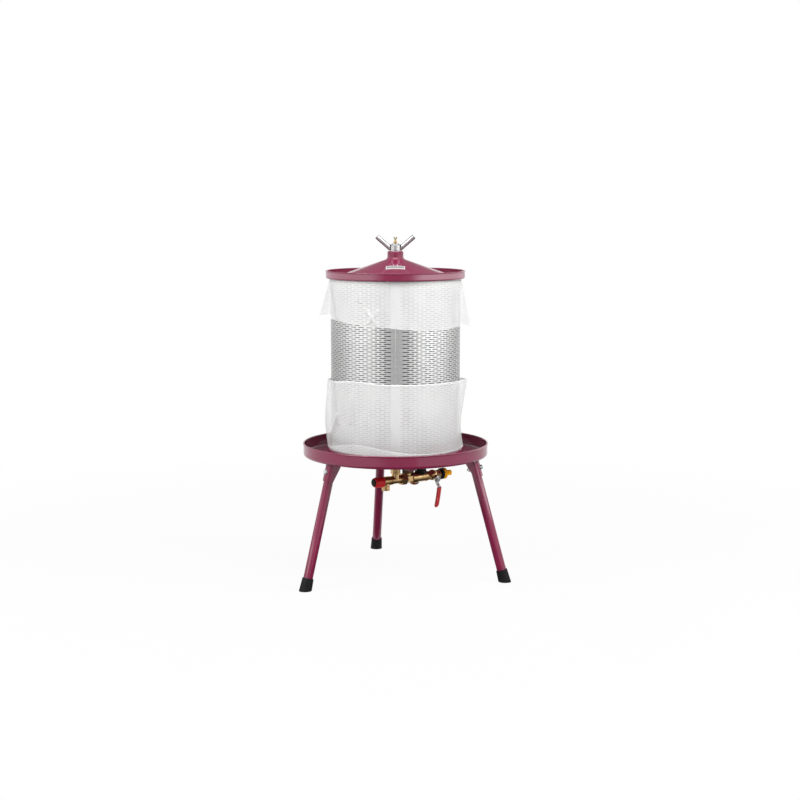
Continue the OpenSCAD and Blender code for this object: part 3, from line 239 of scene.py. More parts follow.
def polishedFinish():
    # bright turned rods and hub; their tone is darkened where the surface is seen at a slant: a painted dark
    # reflection, set by viewing angle
    material = coatedFinish("polishedSteel", greys(0.46, 0.56), (0.14, 0.22), 80.0, 1400.0, (0.01, 0.0002),
                            **{"Metallic": 0.7, "Specular Tint": (0.0, 0.0, 0.0, 1)})
    tree = material.node_tree
    colour = tree.nodes["Principled BSDF"].inputs["Base Color"]
    # painted dark reflection: the base colour falls to near black where the surface turns away from the view
    facing = addNode(tree, "ShaderNodeLayerWeight", {"Blend": 0.5}).outputs["Facing"]
    edge = spread(tree, facing, 0.0, 1.0, 0.22, 0.50)
    tree.links.new(mixColour(tree, edge, colour.links[0].from_socket, (0.03, 0.03, 0.03, 1)), colour)
    return material


burgundy = coatedFinish("burgundyPaint", ((0.172, 0.0085, 0.043), (0.196, 0.0106, 0.051)), (0.30, 0.42), 7.0, 620.0,
                        (0.05, 0.0004), **gloss(0.06),
                        **{"Coat Weight": 0.80, "Coat Roughness": 0.05, "Coat IOR": 1.65})
footRubber = coatedFinish("footRubber", ((0.004, 0.004, 0.0045), (0.008, 0.008, 0.009)), (0.5, 0.68), 60.0, 1500.0,
                          (0.25, 0.0003), **gloss(0.15))
bladderRubber = coatedFinish("bladderRubber", ((0.012, 0.012, 0.012), (0.019, 0.018, 0.018)), (0.45, 0.6), 20.0, 1100.0,
                             (0.2, 0.0003))
zincPlate = coatedFinish("zincPlate", ((0.46, 0.48, 0.51), (0.60, 0.61, 0.62)), (0.14, 0.28), 70.0, 1800.0,
                         (0.03, 0.0002), Metallic=1.0)
castBrass = coatedFinish("castBrass", ((0.42, 0.258, 0.110), (0.70, 0.475, 0.235)), (0.16, 0.30), 65.0, 1300.0,
                         (0.12, 0.0003), Metallic=1.0)
# port cap: its dark bronze tone stands in for the shade under the tray (painted shade)
paintedShadeBronze = coatedFinish("paintedShadeBronze", ((0.055, 0.030, 0.014), (0.100, 0.056, 0.026)), (0.30, 0.45), 65.0, 1300.0,
                          (0.12, 0.0003), Metallic=0.8)
ventBrass = coatedFinish("ventBrass", ((0.58, 0.43, 0.20), (0.72, 0.56, 0.30)), (0.16, 0.28), 90.0, 1300.0,
                         (0.08, 0.0002), Metallic=1.0)
leverSteel = coatedFinish("leverSteel", greys(0.70, 0.80), (0.26, 0.40), 80.0, 1400.0, (0.06, 0.0002), Metallic=1.0)
polishedSteel = polishedFinish()
seamSteel = coatedFinish("seamSteel", ((0.40, 0.40, 0.40), (0.50, 0.50, 0.49)), (0.28, 0.42), 120.0, 900.0,
                         (0.15, 0.0003), Metallic=1.0)
redPlastic = coatedFinish("redPlastic", ((0.62, 0.006, 0.012), (0.70, 0.010, 0.016)), (0.25, 0.36), 40.0, 1500.0,
                          **gloss(0.35))
redVinyl = coatedFinish("redVinyl", ((0.50, 0.042, 0.046), (0.60, 0.062, 0.066)), (0.36, 0.48), 60.0, 900.0,
                        (0.08, 0.0003), **gloss(0.1))
darkRedPlastic = coatedFinish("darkRedPlastic", ((0.24, 0.020, 0.045), (0.30, 0.028, 0.060)), (0.3, 0.42), 60.0, 1300.0,
                              **gloss(0.3))
blackPlastic = coatedFinish("blackPlastic", ((0.003, 0.003, 0.0035), (0.006, 0.006, 0.0065)), (0.34, 0.48),
                            60.0, 1700.0, (0.06, 0.0002), **gloss(0.15))
yellowPlastic = coatedFinish("yellowPlastic", ((0.95, 0.42, 0.003), (1.0, 0.47, 0.005)), (0.28, 0.4), 50.0, 1500.0,
                             **gloss(0.08))
whiteSeal = coatedFinish("whiteSeal", ((0.74, 0.74, 0.72), (0.80, 0.80, 0.78)), (0.4, 0.5), 60.0, 1200.0,
                         (0.04, 0.0002))
stainlessCore = brushedFinish("stainlessCore", ((0.56, 0.56, 0.56), (0.66, 0.66, 0.65)), (0.2, 0.36),
                              (500.0, 500.0, 12.0))
stainlessSheet = brushedFinish("stainlessSheet", ((0.67, 0.67, 0.67), (0.73, 0.73, 0.725)), (0.25, 0.33),
                               (14.0, 900.0, 1.0), "UV", (0.02, 0.0001))

plate = dict(halfWidth=0.025, middleY=-0.080, halfDepth=0.009, sideBorder=(0.93, 0.95), edgeBorder=(0.75, 0.83))


def makePlate(size):
    # satin field inside a bright raised border; the border is where x or y nears the plate's edge
    material, tree, shader = newMaterial("blankPlate", {"Metallic": 0.35})
    where = separate(tree, coords(tree))
    sideways = calc(tree, "DIVIDE", calc(tree, "ABSOLUTE", where[0]), size["halfWidth"])
    fromMiddle = calc(tree, "ABSOLUTE", calc(tree, "SUBTRACT", where[1], size["middleY"]))
    depth = calc(tree, "DIVIDE", fromMiddle, size["halfDepth"])
    border = calc(tree, "MAXIMUM", spread(tree, sideways, 0.0, 1.0, *size["sideBorder"]),
                  spread(tree, depth, 0.0, 1.0, *size["edgeBorder"]))
    brush = useGroup(tree, brushGroup, {"Vector": coords(tree), "Stretch": (10.0, 700.0, 700.0)})
    field = mixColour(tree, brush.outputs["Band"], (0.26, 0.25, 0.26, 1), (0.36, 0.35, 0.36, 1))
    tree.links.new(mixColour(tree, border, field, (0.95, 0.95, 0.95, 1)), shader.inputs["Base Color"])
    tree.links.new(spread(tree, brush.outputs["Line"], 0.28, 0.42), shader.inputs["Roughness"])
    bumpInto(tree, shader, border, 0.5, 0.0004)
    return material


blankPlate = makePlate(plate)
print("press: finishes made")

# CAD nodes keep their shapes and take the finishes
nodeFinish = {
    burgundy: ["tray", "juice_spout", "leg_bracket_rear", "leg_bracket_left", "leg_bracket_right",
               "leg_rear", "leg_left", "leg_right", "lid", "lid_boss"],
    footRubber: ["foot_rear", "foot_left", "foot_right"],
    bladderRubber: ["bladder", "core_gasket"],
    zincPlate: ["leg_bolts", "leg_nuts", "leg_washers", "core_washer", "core_locknut", "core_stud", "bladder_clamps",
                "thrust_washer", "relief_disc"],
    leverSteel: ["valve_stem", "valve_lever", "lever_nut"],
    polishedSteel: ["wing_nut_hub", "wing_nut_arms"],
    ventBrass: ["vent_body", "vent_key"],
    stainlessCore: ["core_pipe", "valve_ball", "relief_spring", "limiter_spring", "basket_hoops"],
    seamSteel: ["basket_seam"],
    castBrass: ["pipe_adapter", "manifold_tee", "union_nut", "hex_nipple", "relief_body", "limiter_body",
                "limiter_piston", "valve_body"],
    paintedShadeBronze: ["port_cap"],
    blankPlate: ["nameplate"],
    redPlastic: ["relief_cap"],
    redVinyl: ["lever_grip"],
    darkRedPlastic: ["drain_plug"],
    blackPlastic: ["relief_tip", "limiter_bonnet", "connector_ring"],
    yellowPlastic: ["hose_connector"],
    whiteSeal: ["valve_seats"],
}
for finish, names in nodeFinish.items():
    for name in names:
        nodes[name].data.materials.clear()
        nodes[name].data.materials.append(finish)


# slotted basket

basket = dict(radius=0.173, wall=0.0015, lowZ=0.3463, highZ=0.8023, columns=180, plainColumns=4, rows=79,
              pitch=0.0052, slotHeight=0.0022)


def makeBasket(size):
    # sheet rolled round Z: a grid of columns by bands, every second band a row of slots three columns long
    # with one column of bridge, alternate rows shifted by two columns; open cells get rims through the wall
    columns, rows = size["columns"], size["rows"]
    middle = (size["lowZ"] + size["highZ"]) / 2
    centres = middle + (np.arange(rows) - (rows - 1) / 2) * size["pitch"]
    edges = np.stack([centres - size["slotHeight"] / 2, centres + size["slotHeight"] / 2], 1).ravel()
    levels = np.concatenate([[size["lowZ"]], edges, [size["highZ"]]])
    angles = -math.pi / 2 + (np.arange(columns) - columns + size["plainColumns"] / 2) * tau / columns
    slotted = columns - size["plainColumns"]
    band, column = np.meshgrid(np.arange(len(levels) - 1), np.arange(columns), indexing="ij")
    row = (band - 1) // 2
    phase = np.where(row % 2 == 0, 0, 2)
    start = (column - phase) - (column - phase) % 4
    whole = (start + phase >= 0) & (start + phase + 3 < slotted)
    holed = (band % 2 == 1) & ((column - phase) % 4 != 0) & whole
    shells = [roundPoints(angles[None, :], r, levels[:, None]) for r in (size["radius"], size["radius"] - size["wall"])]
    count = len(levels) * columns
    right = (column + 1) % columns
    a, b = band * columns + column, band * columns + right
    c, d = (band + 1) * columns + right, (band + 1) * columns + column
    below = np.vstack([np.zeros((1, columns), bool), holed[:-1]])
    above = np.vstack([holed[1:], np.zeros((1, columns), bool)])
    faces = [np.stack([a, b, c, d], -1)[~holed], np.stack([d, c, b, a], -1)[~holed] + count]
    sill = np.stack([a, b, b + count, a + count], -1)
    head = np.stack([c, d, d + count, c + count], -1)
    leftEnd = np.stack([a, a + count, d + count, d], -1)
    rightEnd = np.stack([c, c + count, b + count, b], -1)
    faces += [sill[holed & ~below], head[holed & ~above]]
    faces += [leftEnd[holed & ~np.roll(holed, 1, 1)], rightEnd[holed & ~np.roll(holed, -1, 1)]]
    faces += [head[-1], sill[0][:, ::-1]]
    uv = np.stack(np.broadcast_arrays(angles[None, :] * size["radius"], levels[:, None]), -1).reshape(-1, 2)
    return meshPiece("slottedBasket", np.concatenate([s.reshape(-1, 3) for s in shells]), np.concatenate(faces),
                     stainlessSheet, "basket_set", ["basket"], np.concatenate([uv, uv]), 30)


slottedBasket = makeBasket(basket)
print("press: basket has", len(slottedBasket.data.polygons), "faces")


# cloth

# slotShadeShare, paintedShadeBelow and bounceTintBelow set the painted shade of the slots, the painted shade inside the
# liner and a tint painted against the tray's bounce light
cloth = dict(roundRadius=0.17565, linerRadius=0.1708, uvRadius=0.176, columns=432, threads=900.0, solid=(0.46, 0.54),
             slotShadeShare=0.30, touches=0.1785, standsAway=0.1835, insideOf=0.1715, paintedShadeBelow=(0.69, 0.77),
             bounceTintBelow=(0.355, 0.44))
bag = dict(lowZ=0.3468, topZ=0.8030, drop=0.1146, lean=0.014, dip=0.007, ear=0.024, fold=0.003, folds=7, lift=0.007,
           liftAt=-0.42, liftWidth=0.30, over=0.0006, loose=(0.0075, 0.0030, 0.0012),
           lines=[(-0.45, 0.62, -0.25, 1.02, 0.035, 0.0030), (-0.25, 0.62, -0.45, 1.02, 0.035, 0.0030),
                  (-1.15, 0.08, -1.02, 1.0, 0.060, 0.0060), (-0.62, 0.05, -0.55, 0.50, 0.045, 0.0030),
                  (0.95, 0.05, 1.02, 0.90, 0.055, 0.0040), (1.25, 0.08, 1.20, 1.0, 0.050, 0.0055)])
sleeve = dict(lowZ=0.3467, height=0.1868, dip=0.0035, ear=0.017, fold=0.003, folds=9, lift=0.007,
              liftAt=-2.23, liftWidth=0.34, foot=0.0022, hem=(0.004, 0.030), hemThick=0.0007, roll=(0.985, 0.994),
              rollMore=0.125, rollAt=-0.6, rollWidth=0.62,
              lines=[(-1.08, -0.05, -1.02, 0.62, 0.055, 0.0060), (-0.66, 0.10, -0.72, 0.60, 0.055, 0.0040),
                     (-1.00, 0.45, -1.42, 0.98, 0.055, 0.0070), (-1.25, 0.00, -1.30, 0.90, 0.055, 0.0050),
                     (1.05, 0.05, 1.10, 0.75, 0.055, 0.0060), (1.30, 0.00, 1.22, 0.90, 0.050, 0.0055)],
              rightShares=(1, 0.73, 0.48, 0.23, 0.05, 0.15, 0.43),
              leftShares=(0.37, 0.41, 0.53, 0.66, 0.66, 0.57, 0.37))


def makeWeaveGroup():
    # plain weave on the cloth's own metres: threads as two crossed waves, gaps where both are low;
    # slubs lie along the weft
    group, start, end = newGroup("sheerWeave", [("Threads", numberKind, 1400.0)], ["Thread", "Slub"])
    parts = separate(group, start["Vector"])
    turns = calc(group, "MULTIPLY", start["Threads"], tau)
    across = calc(group, "SINE", calc(group, "MULTIPLY", parts[0], turns))
    along = calc(group, "SINE", calc(group, "MULTIPLY", parts[1], turns))
    slub = noise(group, drawnOut(group, start["Vector"], (90.0, 900.0, 1.0)), 1.0, 2.0, 0.6)
    group.links.new(spread(group, calc(group, "MAXIMUM", across, along), 0.0, 1.0, -1.0, 1.0), end["Thread"])
    group.links.new(spread(group, slub, 0.0, 1.0, 0.3, 0.7), end["Slub"])
    return group


def makeSlotGroup(size):
    # Slot masks the basket's slots behind the cloth, from the way round and up, where their dark is painted in as
    # shade; it fades where the cloth stands away
    # Away, Inside and Foot tell where the cloth stands off the basket, lines it (painted shade, below its top), or
    # nears the tray (a cool tint painted against the pink light the tray bounces)
    group, start, end = newGroup("slotsBehind", [], ["Slot", "Away", "Inside", "Foot"])
    parts = separate(group, start["Vector"])
    turn = calc(group, "ARCTAN2", parts[1], parts[0])
    middle = (size["lowZ"] + size["highZ"]) / 2
    fromMiddle = calc(group, "DIVIDE", calc(group, "SUBTRACT", parts[2], middle), size["pitch"])
    row = calc(group, "ADD", fromMiddle, size["rows"] / 2)
    phase = calc(group, "MULTIPLY", calc(group, "MODULO", calc(group, "FLOOR", row), 2.0), 2.0)
    atZero = size["columns"] * 1.25 - size["plainColumns"] / 2
    column = calc(group, "SUBTRACT", calc(group, "MULTIPLY_ADD", turn, size["columns"] / tau, atZero), phase)
    long = calc(group, "GREATER_THAN", calc(group, "MODULO", column, 4.0), 1.0)
    offMiddle = calc(group, "ABSOLUTE", calc(group, "SUBTRACT", calc(group, "FRACT", row), 0.5))
    high = calc(group, "LESS_THAN", offMiddle, size["slotHeight"] / size["pitch"] / 2)
    fromSeam = calc(group, "ABSOLUTE", calc(group, "ADD", turn, math.pi / 2))
    plain = calc(group, "GREATER_THAN", fromSeam, size["plainColumns"] / 2 * tau / size["columns"])
    flat = addNode(group, "ShaderNodeCombineXYZ", {0: parts[0], 1: parts[1]}).outputs[0]
    out = addNode(group, "ShaderNodeVectorMath", {0: flat}, operation="LENGTH").outputs["Value"]
    near = spread(group, out, 1.0, 0.0, cloth["touches"], cloth["standsAway"])
    patches = noise(group, start["Vector"], 16.0, 2.0)
    touch = calc(group, "MULTIPLY", near, spread(group, patches, 0.35, 1.0, 0.38, 0.58))
    slot = calc(group, "MULTIPLY", calc(group, "MULTIPLY", long, high), calc(group, "MULTIPLY", plain, touch))
    # the liner is painted darker below its top edge: painted shade inside the basket, so the slots read dark
    low = spread(group, parts[2], 1.0, 0.15, *cloth["paintedShadeBelow"])
    group.links.new(slot, end["Slot"])
    group.links.new(calc(group, "SUBTRACT", 1.0, near), end["Away"])
    group.links.new(calc(group, "MULTIPLY", calc(group, "LESS_THAN", out, cloth["insideOf"]), low), end["Inside"])
    group.links.new(spread(group, parts[2], 1.0, 0.0, *cloth["bounceTintBelow"]), end["Foot"])
    return group


def makeCloth():
    # white threads let part of what lies behind show through; the slots behind are also painted into the colour as grey
    # lines of shade; slubs change tone and openness
    material, tree, shader = newMaterial("sheerCloth", {"Roughness": 0.85, "Sheen Weight": 0.2, "Sheen Roughness": 0.5,
                                                        "Specular IOR Level": 0.15})
    weave = useGroup(tree, makeWeaveGroup(), {"Vector": coords(tree, "UV"), "Threads": cloth["threads"]}).outputs
    behind = useGroup(tree, makeSlotGroup(basket), {"Vector": coords(tree)}).outputs
    colour = mixColour(tree, weave["Slub"], (0.96, 0.96, 0.96, 1), (0.99, 0.99, 0.99, 1))
    # near the tray the cloth is painted a cool tint that offsets the pink light the tray bounces onto it
    colour = mixColour(tree, behind["Foot"], colour, (0.945, 1.0, 0.99, 1))
    # the slots behind are painted in as grey: painted shade of the slots seen through the cloth
    colour = mixColour(tree, calc(tree, "MULTIPLY", behind["Slot"], cloth["slotShadeShare"]), colour, (0.20, 0.20, 0.20, 1))
    colour = mixColour(tree, behind["Away"], colour, (0.84, 0.84, 0.84, 1))
    # inside the basket the liner is painted grey: painted shade
    colour = mixColour(tree, behind["Inside"], colour, (0.42, 0.41, 0.40, 1))
    tree.links.new(colour, shader.inputs["Base Color"])
    solid = calc(tree, "ADD", spread(tree, weave["Thread"], *cloth["solid"]), spread(tree, weave["Slub"], -0.02, 0.02))
    tree.links.new(solid, shader.inputs["Alpha"])
    bumpInto(tree, shader, weave["Thread"], 0.08, 0.0002)
    return material


sheerCloth = makeCloth()


def clothAngles():
    return np.arange(cloth["columns"])[None, :] * tau / cloth["columns"]


def fromAngle(angle, middle):
    # how far an angle lies from the middle, between -pi and pi
    return (angle - middle + math.pi) % tau - math.pi


def drawnTight(angle, reach):
    # round cloth with a sewn seam standing out by reach at angles 0 and pi: the straight line
    # from the seam's tip to where it touches the round
    off = np.abs((angle + math.pi / 2) % math.pi - math.pi / 2)
    spreadAngle = np.arccos(cloth["roundRadius"] / (cloth["roundRadius"] + reach))
    return cloth["roundRadius"] / np.cos(np.maximum(0, spreadAngle - off))


def wave(angle, count):
    return (1 - np.cos(count * angle)) / 2


def wrinkle(angle, t):
    # shallow slanting creases, a sum of waves whose directions differ
    waves = (0.40 * np.sin(23 * angle + 4.0 * t) + 0.32 * np.sin(37 * angle - 7.0 * t + 1.3)
             + 0.28 * np.sin(13 * angle + 9.0 * t + 0.4))
    return waves * 0.0006


def creases(angle, t, lines):
    # rounded ridges along slanting lines; a line is its start and end (angle from the front, share of height),
    # width and height
    total = 0
    for startTurn, startShare, endTurn, endShare, width, high in lines:
        k = np.clip((t - startShare) / (endShare - startShare), 0, 1)
        off = fromAngle(angle, startTurn + (endTurn - startTurn) * k - math.pi / 2)
        total = total + high * np.exp(-(off / width) ** 2) * np.sqrt(np.sin(math.pi * k) + 1e-9)
    return total


def clothPiece(name, angle, radius, z, stands):
    points = roundPoints(angle, radius, z)
    points = np.concatenate([points, points[:, :1]], 1)  # the last column lies on the first: the cut has two edges
    along = np.linalg.norm(np.diff(points, axis=1), axis=2).mean(0)
    up = np.linalg.norm(np.diff(points, axis=0), axis=2).mean(1)
    u = np.concatenate([[0], np.cumsum(along)])
    v = np.concatenate([[0], np.cumsum(up)])
    uv = np.stack(np.broadcast_arrays(u[None, :], v[:, None]), -1)
    faces = gridFaces(*points.shape[:2])
    piece = meshPiece(name, points, faces, sheerCloth, "basket_set", stands, uv, 80)
    return closeUp(piece, False), u[-1], v[-1]


def skirtShape(angle, t):
    # skirt below the fold: t runs from the basket's edge to the hem
    radius = drawnTight(angle, bag["ear"] * t) + bag["fold"] * t * wave(angle, bag["folds"])
    radius = radius + wrinkle(angle, t) * np.minimum(1, 3 * t) + creases(angle, t, bag["lines"])
    lifted = bag["lift"] * np.exp(-(fromAngle(angle, bag["liftAt"]) / bag["liftWidth"]) ** 2)
    z = bag["topZ"] - t * (bag["drop"] + bag["lean"] * np.cos(angle) - bag["dip"] * np.sin(angle) - lifted)
    return radius, z


def makeBag():
    # loose liner up the inside, a half turn over the basket's edge, then the skirt outside
    angle = clothAngles()
    foldZ = bag["topZ"] - bag["over"]
    up = np.linspace(0, 1, 40)[:, None]
    linerZ = bag["lowZ"] + (foldZ - bag["lowZ"]) * up
    mean, broad, fine = bag["loose"]
    loose = mean + broad * np.sin(9 * angle + 2.0 * up) + fine * np.sin(23 * angle - 3.0 * up)
    linerR = cloth["linerRadius"] - np.minimum(1, (1 - up) / 0.08) ** 0.6 * loose
    over = np.linspace(0.1, 0.9, 9)[:, None]
    overR = cloth["linerRadius"] + (cloth["roundRadius"] - cloth["linerRadius"]) * (1 - np.cos(math.pi * over)) / 2
    overZ = foldZ + bag["over"] * np.sin(math.pi * over)
    t = np.linspace(0.012, 1, 64)[:, None]
    skirtR, skirtZ = skirtShape(angle, t)
    blank = 0 * angle
    radius = np.concatenate([linerR, overR + blank, skirtR])
    z = np.concatenate([linerZ + blank, overZ + blank, skirtZ])
    return clothPiece("pressBag", angle, radius, z, ["press_bag"])


def sleeveShape(angle, t):
    # sleeve: t runs from the hem down to the tray; the seams' reach changes with t
    knots = np.linspace(0, 1, len(sleeve["rightShares"]))
    onRight, onLeft = np.interp(t, knots, sleeve["rightShares"]), np.interp(t, knots, sleeve["leftShares"])
    shares = np.where(np.cos(angle) > 0, onRight, onLeft)
    between = np.sin(math.pi * t)  # nothing at the hem and at the tray
    radius = drawnTight(angle, sleeve["ear"] * shares) + sleeve["fold"] * wave(angle, sleeve["folds"]) * between
    radius = radius + wrinkle(angle, 2 * t) * between + creases(angle, t, sleeve["lines"])
    lifted = sleeve["lift"] * np.exp(-(fromAngle(angle, sleeve["liftAt"]) / sleeve["liftWidth"]) ** 2)
    z = sleeve["lowZ"] + (sleeve["height"] - sleeve["dip"] * np.sin(angle) + lifted) * (1 - t)
    return radius, z + sleeve["foot"] * t * np.sqrt((1 - np.sin(angle)) / 2)


def makeSleeve():
    angle = clothAngles()
    radius, z = sleeveShape(angle, np.linspace(1, 0, 96)[:, None])
    return clothPiece("splashSleeve", angle, radius, z, ["splash_sleeve"])


def makeHem(name, low, high):
    # turned-over edge: a flat oval carried along the sleeve's edge, from t low to t high
    angle = clothAngles()
    turn = np.linspace(0, tau, 13)[:-1, None]
    middle, half = (low + high) / 2, (high - low) / 2
    radius, z = sleeveShape(angle, middle + half * np.sin(turn))
    points = roundPoints(angle, radius + sleeve["hemThick"] * np.cos(turn), z)
    uv = np.stack(np.broadcast_arrays(angle * cloth["uvRadius"], half * sleeve["height"] * np.sin(turn)), -1)
    faces = gridFaces(points.shape[0], points.shape[1], True, True)
    return closeUp(meshPiece(name, points, faces, sheerCloth, "basket_set", (), uv, 80))


pressBag, bagAround, bagLong = makeBag()
splashSleeve, sleeveAround, sleeveLong = makeSleeve()
sleeveHem = makeHem("sleeveHem", *sleeve["hem"])
rollTop, rollFoot = sleeve["roll"]
fromLeftFront = fromAngle(clothAngles(), sleeve["rollAt"] - math.pi / 2)
widened = sleeve["rollMore"] * np.exp(-(fromLeftFront / sleeve["rollWidth"]) ** 2)
sleeveFoot = makeHem("sleeveFoot", rollTop - widened, rollFoot)  # the roll is widest at the left front
print("press: bag round and long, m:", round(bagAround, 3), round(bagLong, 3))
print("press: sleeve round and long, m:", round(sleeveAround, 3), round(sleeveLong, 3))


# turned and moulded pieces on the water run

run = dict(height=0.257, angle=math.radians(38), tilt=math.radians(20), skew=math.radians(8), ball=0.129, limiter=0.087)
runAlong = np.array([math.cos(run["angle"]), math.sin(run["angle"]), 0.0])
runFront = np.array([math.sin(run["angle"]), -math.cos(run["angle"]), 0.0])
upward = np.array([0.0, 0.0, 1.0])
runOrigin = upward * run["height"]
stemOut = math.cos(run["tilt"]) * runFront - math.sin(run["tilt"]) * upward
stemDown = -math.sin(run["tilt"]) * runFront - math.cos(run["tilt"]) * upward
leverDown = math.cos(run["skew"]) * stemDown + math.sin(run["skew"]) * runAlong
leverSide = math.cos(run["skew"]) * runAlong - math.sin(run["skew"]) * stemDown
alongRun = (runOrigin, runAlong, runFront, upward)
upLimiter = (runOrigin + run["limiter"] * runAlong, upward, runAlong, -runFront)


def rounded(corners, reach, steps=5):
    # polyline whose corners are cut by quadratic curves that start reach away from each corner
    corners = np.asarray(corners, float)
    pieces = [corners[:1]]
    for before, corner, after, size in zip(corners[:-2], corners[1:-1], corners[2:], reach[1:-1]):
        back, ahead = before - corner, after - corner
        size = min(size, np.linalg.norm(back) / 2, np.linalg.norm(ahead) / 2)
        first, last = corner + back / np.linalg.norm(back) * size, corner + ahead / np.linalg.norm(ahead) * size
        k = np.linspace(0, 1, steps)[:, None]
        pieces.append((1 - k) ** 2 * first + 2 * k * (1 - k) * corner + k ** 2 * last)
    return np.concatenate(pieces + [corners[-1:]])


def turned(name, corners, reach, lathe, finish, body, stands, columns=96, flutes=(0, 0.0, 0.0)):
    # lathe is origin, axis and two sides: a (station, radius) profile in mm is turned about the axis;
    # flutes are count, depth and least radius
    origin, axis, side, other = lathe
    profile = rounded(corners, reach) / 1000
    angle = np.arange(columns)[None, :] * tau / columns
    station, radius = profile[:, :1], profile[:, 1:]
    radius = radius - flutes[1] / 1000 * wave(angle, flutes[0]) * (radius > flutes[2] / 1000)
    outward = np.cos(angle)[..., None] * side + np.sin(angle)[..., None] * other
    points = origin + station[..., None] * axis + radius[..., None] * outward
    faces = gridFaces(points.shape[0], columns, False, True)
    return closeUp(meshPiece(name, points, faces, finish, body, stands, None, 50))


turned("reliefCapMoulded",
       [(-69, 0), (-69, 8.55), (-44.06, 8.55), (-44.06, 14.6), (-47, 15.3), (-58, 15.1), (-68, 13.6),
        (-73.4, 12.2), (-74, 0)],
       (0, 0.3, 0.3, 0.8, 3, 4, 4, 1.6, 0),
       alongRun, redPlastic, "relief_knob", ["relief_cap"], 120, (20, 0.35, 12.6))
turned("reliefTipMoulded",
       [(-74, 0), (-74, 10), (-75.2, 10), (-76, 7.5), (-76, 0)],
       (0, 0.2, 0.8, 1.2, 0),
       alongRun, blackPlastic, "relief_knob", ["relief_tip"])
turned("limiterBonnetMoulded",
       [(35.2, 0), (35.2, 8.5), (24.1, 8.5), (24.1, 10.06), (9.5, 10.06), (9.5, 15.2), (10.5, 16), (35.4, 16),
        (39.2, 13.2), (39.2, 0)],
       (0, 0.4, 0.2, 0.2, 0.2, 0.5, 0.5, 2.5, 1.5, 0),
       upLimiter, blackPlastic, "stand", ["limiter_bonnet"], 144, (24, 0.5, 15.5))
turned("hoseConnectorMoulded",
       [(170.1, 5), (170.1, 10.05), (164, 10.05), (164, 14.6), (165, 15.5), (173, 15.5), (174, 14.4), (174.4, 9.2),
        (176.5, 7.7), (185.6, 7.7), (186, 6.6), (188.4, 6.6), (188.8, 7.7), (193, 7.7), (194, 6.8), (194, 5),
        (170.1, 5)],
       (0, 0.3, 0.3, 0.6, 0.6, 0.8, 0.6, 1, 1, 0.3, 0.3, 0.3, 0.3, 0.6, 0.5, 0.3, 0),
       alongRun, yellowPlastic, "stand", ["hose_connector"], 144, (24, 0.9, 15.0))
turned("connectorRingMoulded",
       [(156, 10.05), (156, 14.6), (156.8, 15.5), (163.1, 15.5), (163.9, 14.6), (163.9, 10.05), (156, 10.05)],
       (0, 0.6, 0.6, 0.6, 0.6, 0.2, 0),
       alongRun, blackPlastic, "stand", ["connector_ring"], 144, (36, 0.5, 15.0))

grip = dict(out=0.03625, sink=0.002, arch=0.0011, top=0.020, long=0.067, halfWidth=0.007, halfThick=0.00325, columns=48)


def makeGrip(size):
    # dipped sleeve: a superellipse section carried down the arched line of the lever,
    # closed by shrinking it over the end
    quarter = np.linspace(0.1, 1, 10) * math.pi / 2
    t = np.concatenate([[0.0, 0.0, 0.02], np.linspace(0.06, 0.90, 30), 1 - 0.1 * np.cos(quarter)])
    share = np.concatenate([[0.55, 0.93, 1.0], np.ones(30), np.sin(math.pi / 2 - quarter) ** 0.6])
    share[-1] = 0.0
    out = size["out"] - size["sink"] * t + size["arch"] * np.sin(math.pi * t)
    down = size["top"] + size["long"] * t
    angle = np.arange(size["columns"])[None, :] * tau / size["columns"]
    across = np.sign(np.cos(angle)) * np.abs(np.cos(angle)) ** 0.7 * size["halfWidth"] * share[:, None]
    deep = np.sign(np.sin(angle)) * np.abs(np.sin(angle)) ** 0.7 * size["halfThick"] * share[:, None]
    centre = runOrigin + run["ball"] * runAlong + out[:, None] * stemOut + down[:, None] * leverDown
    points = centre[:, None, :] + across[..., None] * leverSide + deep[..., None] * stemOut
    faces = gridFaces(len(t), size["columns"], False, True)
    return closeUp(meshPiece("leverGripDipped", points, faces, redVinyl, "lever_set", ["lever_grip"],
                             None, 60))


makeGrip(grip)
print("press: turned pieces made")


# floor, light and camera

studio = dict(ambient=0.15, floorHalf=15, floorZ=-0.0002, floorTone=(0.55, 0.55, 0.55, 1), floorKeeps=0.06,
              whiteFrom=0.8, whiteBy=2.2, lookAt=(0, 0, 0.45))
lamps = [("keyLeft", (-2.6, -1.9, 2.6), 2.2, 132.0),  # name, place, width, watts
         ("keyRight", (2.5, -1.4, 2.7), 2.0, 128.0),
         ("overhead", (0.0, -0.9, 3.4), 2.2, 38.0)]
flags = [("frontFlag", 0.48, [(-0.20, 0.22, 0.003), (0.24, 0.22, 0.003), (-0.30, -0.55, 0.003), (0.36, -0.55, 0.003),
                              (-2.0, -5.0, 0.003), (2.5, -5.0, 0.003), (-2.0, -5.0, 3.2), (2.5, -5.0, 3.2)]),
         ("backFlag", 0.30, [(-2.4, 3.6, 1.8), (2.8, 3.6, 1.8), (-2.4, 3.0, 6.0), (2.8, 3.0, 6.0)]),
         ("floorFlag", 0.08, [(-0.50, 0.25, 0.004), (0.80, 0.25, 0.004), (-0.62, -1.3, 0.004), (1.10, -1.3, 0.004)])]
strips = [("bandLeft", (-22, -150), (0.58, 0.74), 2.8, 0.5),  # name, degrees round, heights, brightness, fading from
          ("bandRight", (25, 150), (0.58, 0.74), 4.4, 0.4),
          ("sideLeft", (-85, -165), (0.01, 0.52), 0.55, 0.8),
          ("sideRight", (95, 165), (0.01, 0.52), 0.62, 0.8)]
view = dict(place=(0.0, -4.2217, 1.0181), sensor=36.0, lens=71.05, down=0.1278, turn=-0.0029)


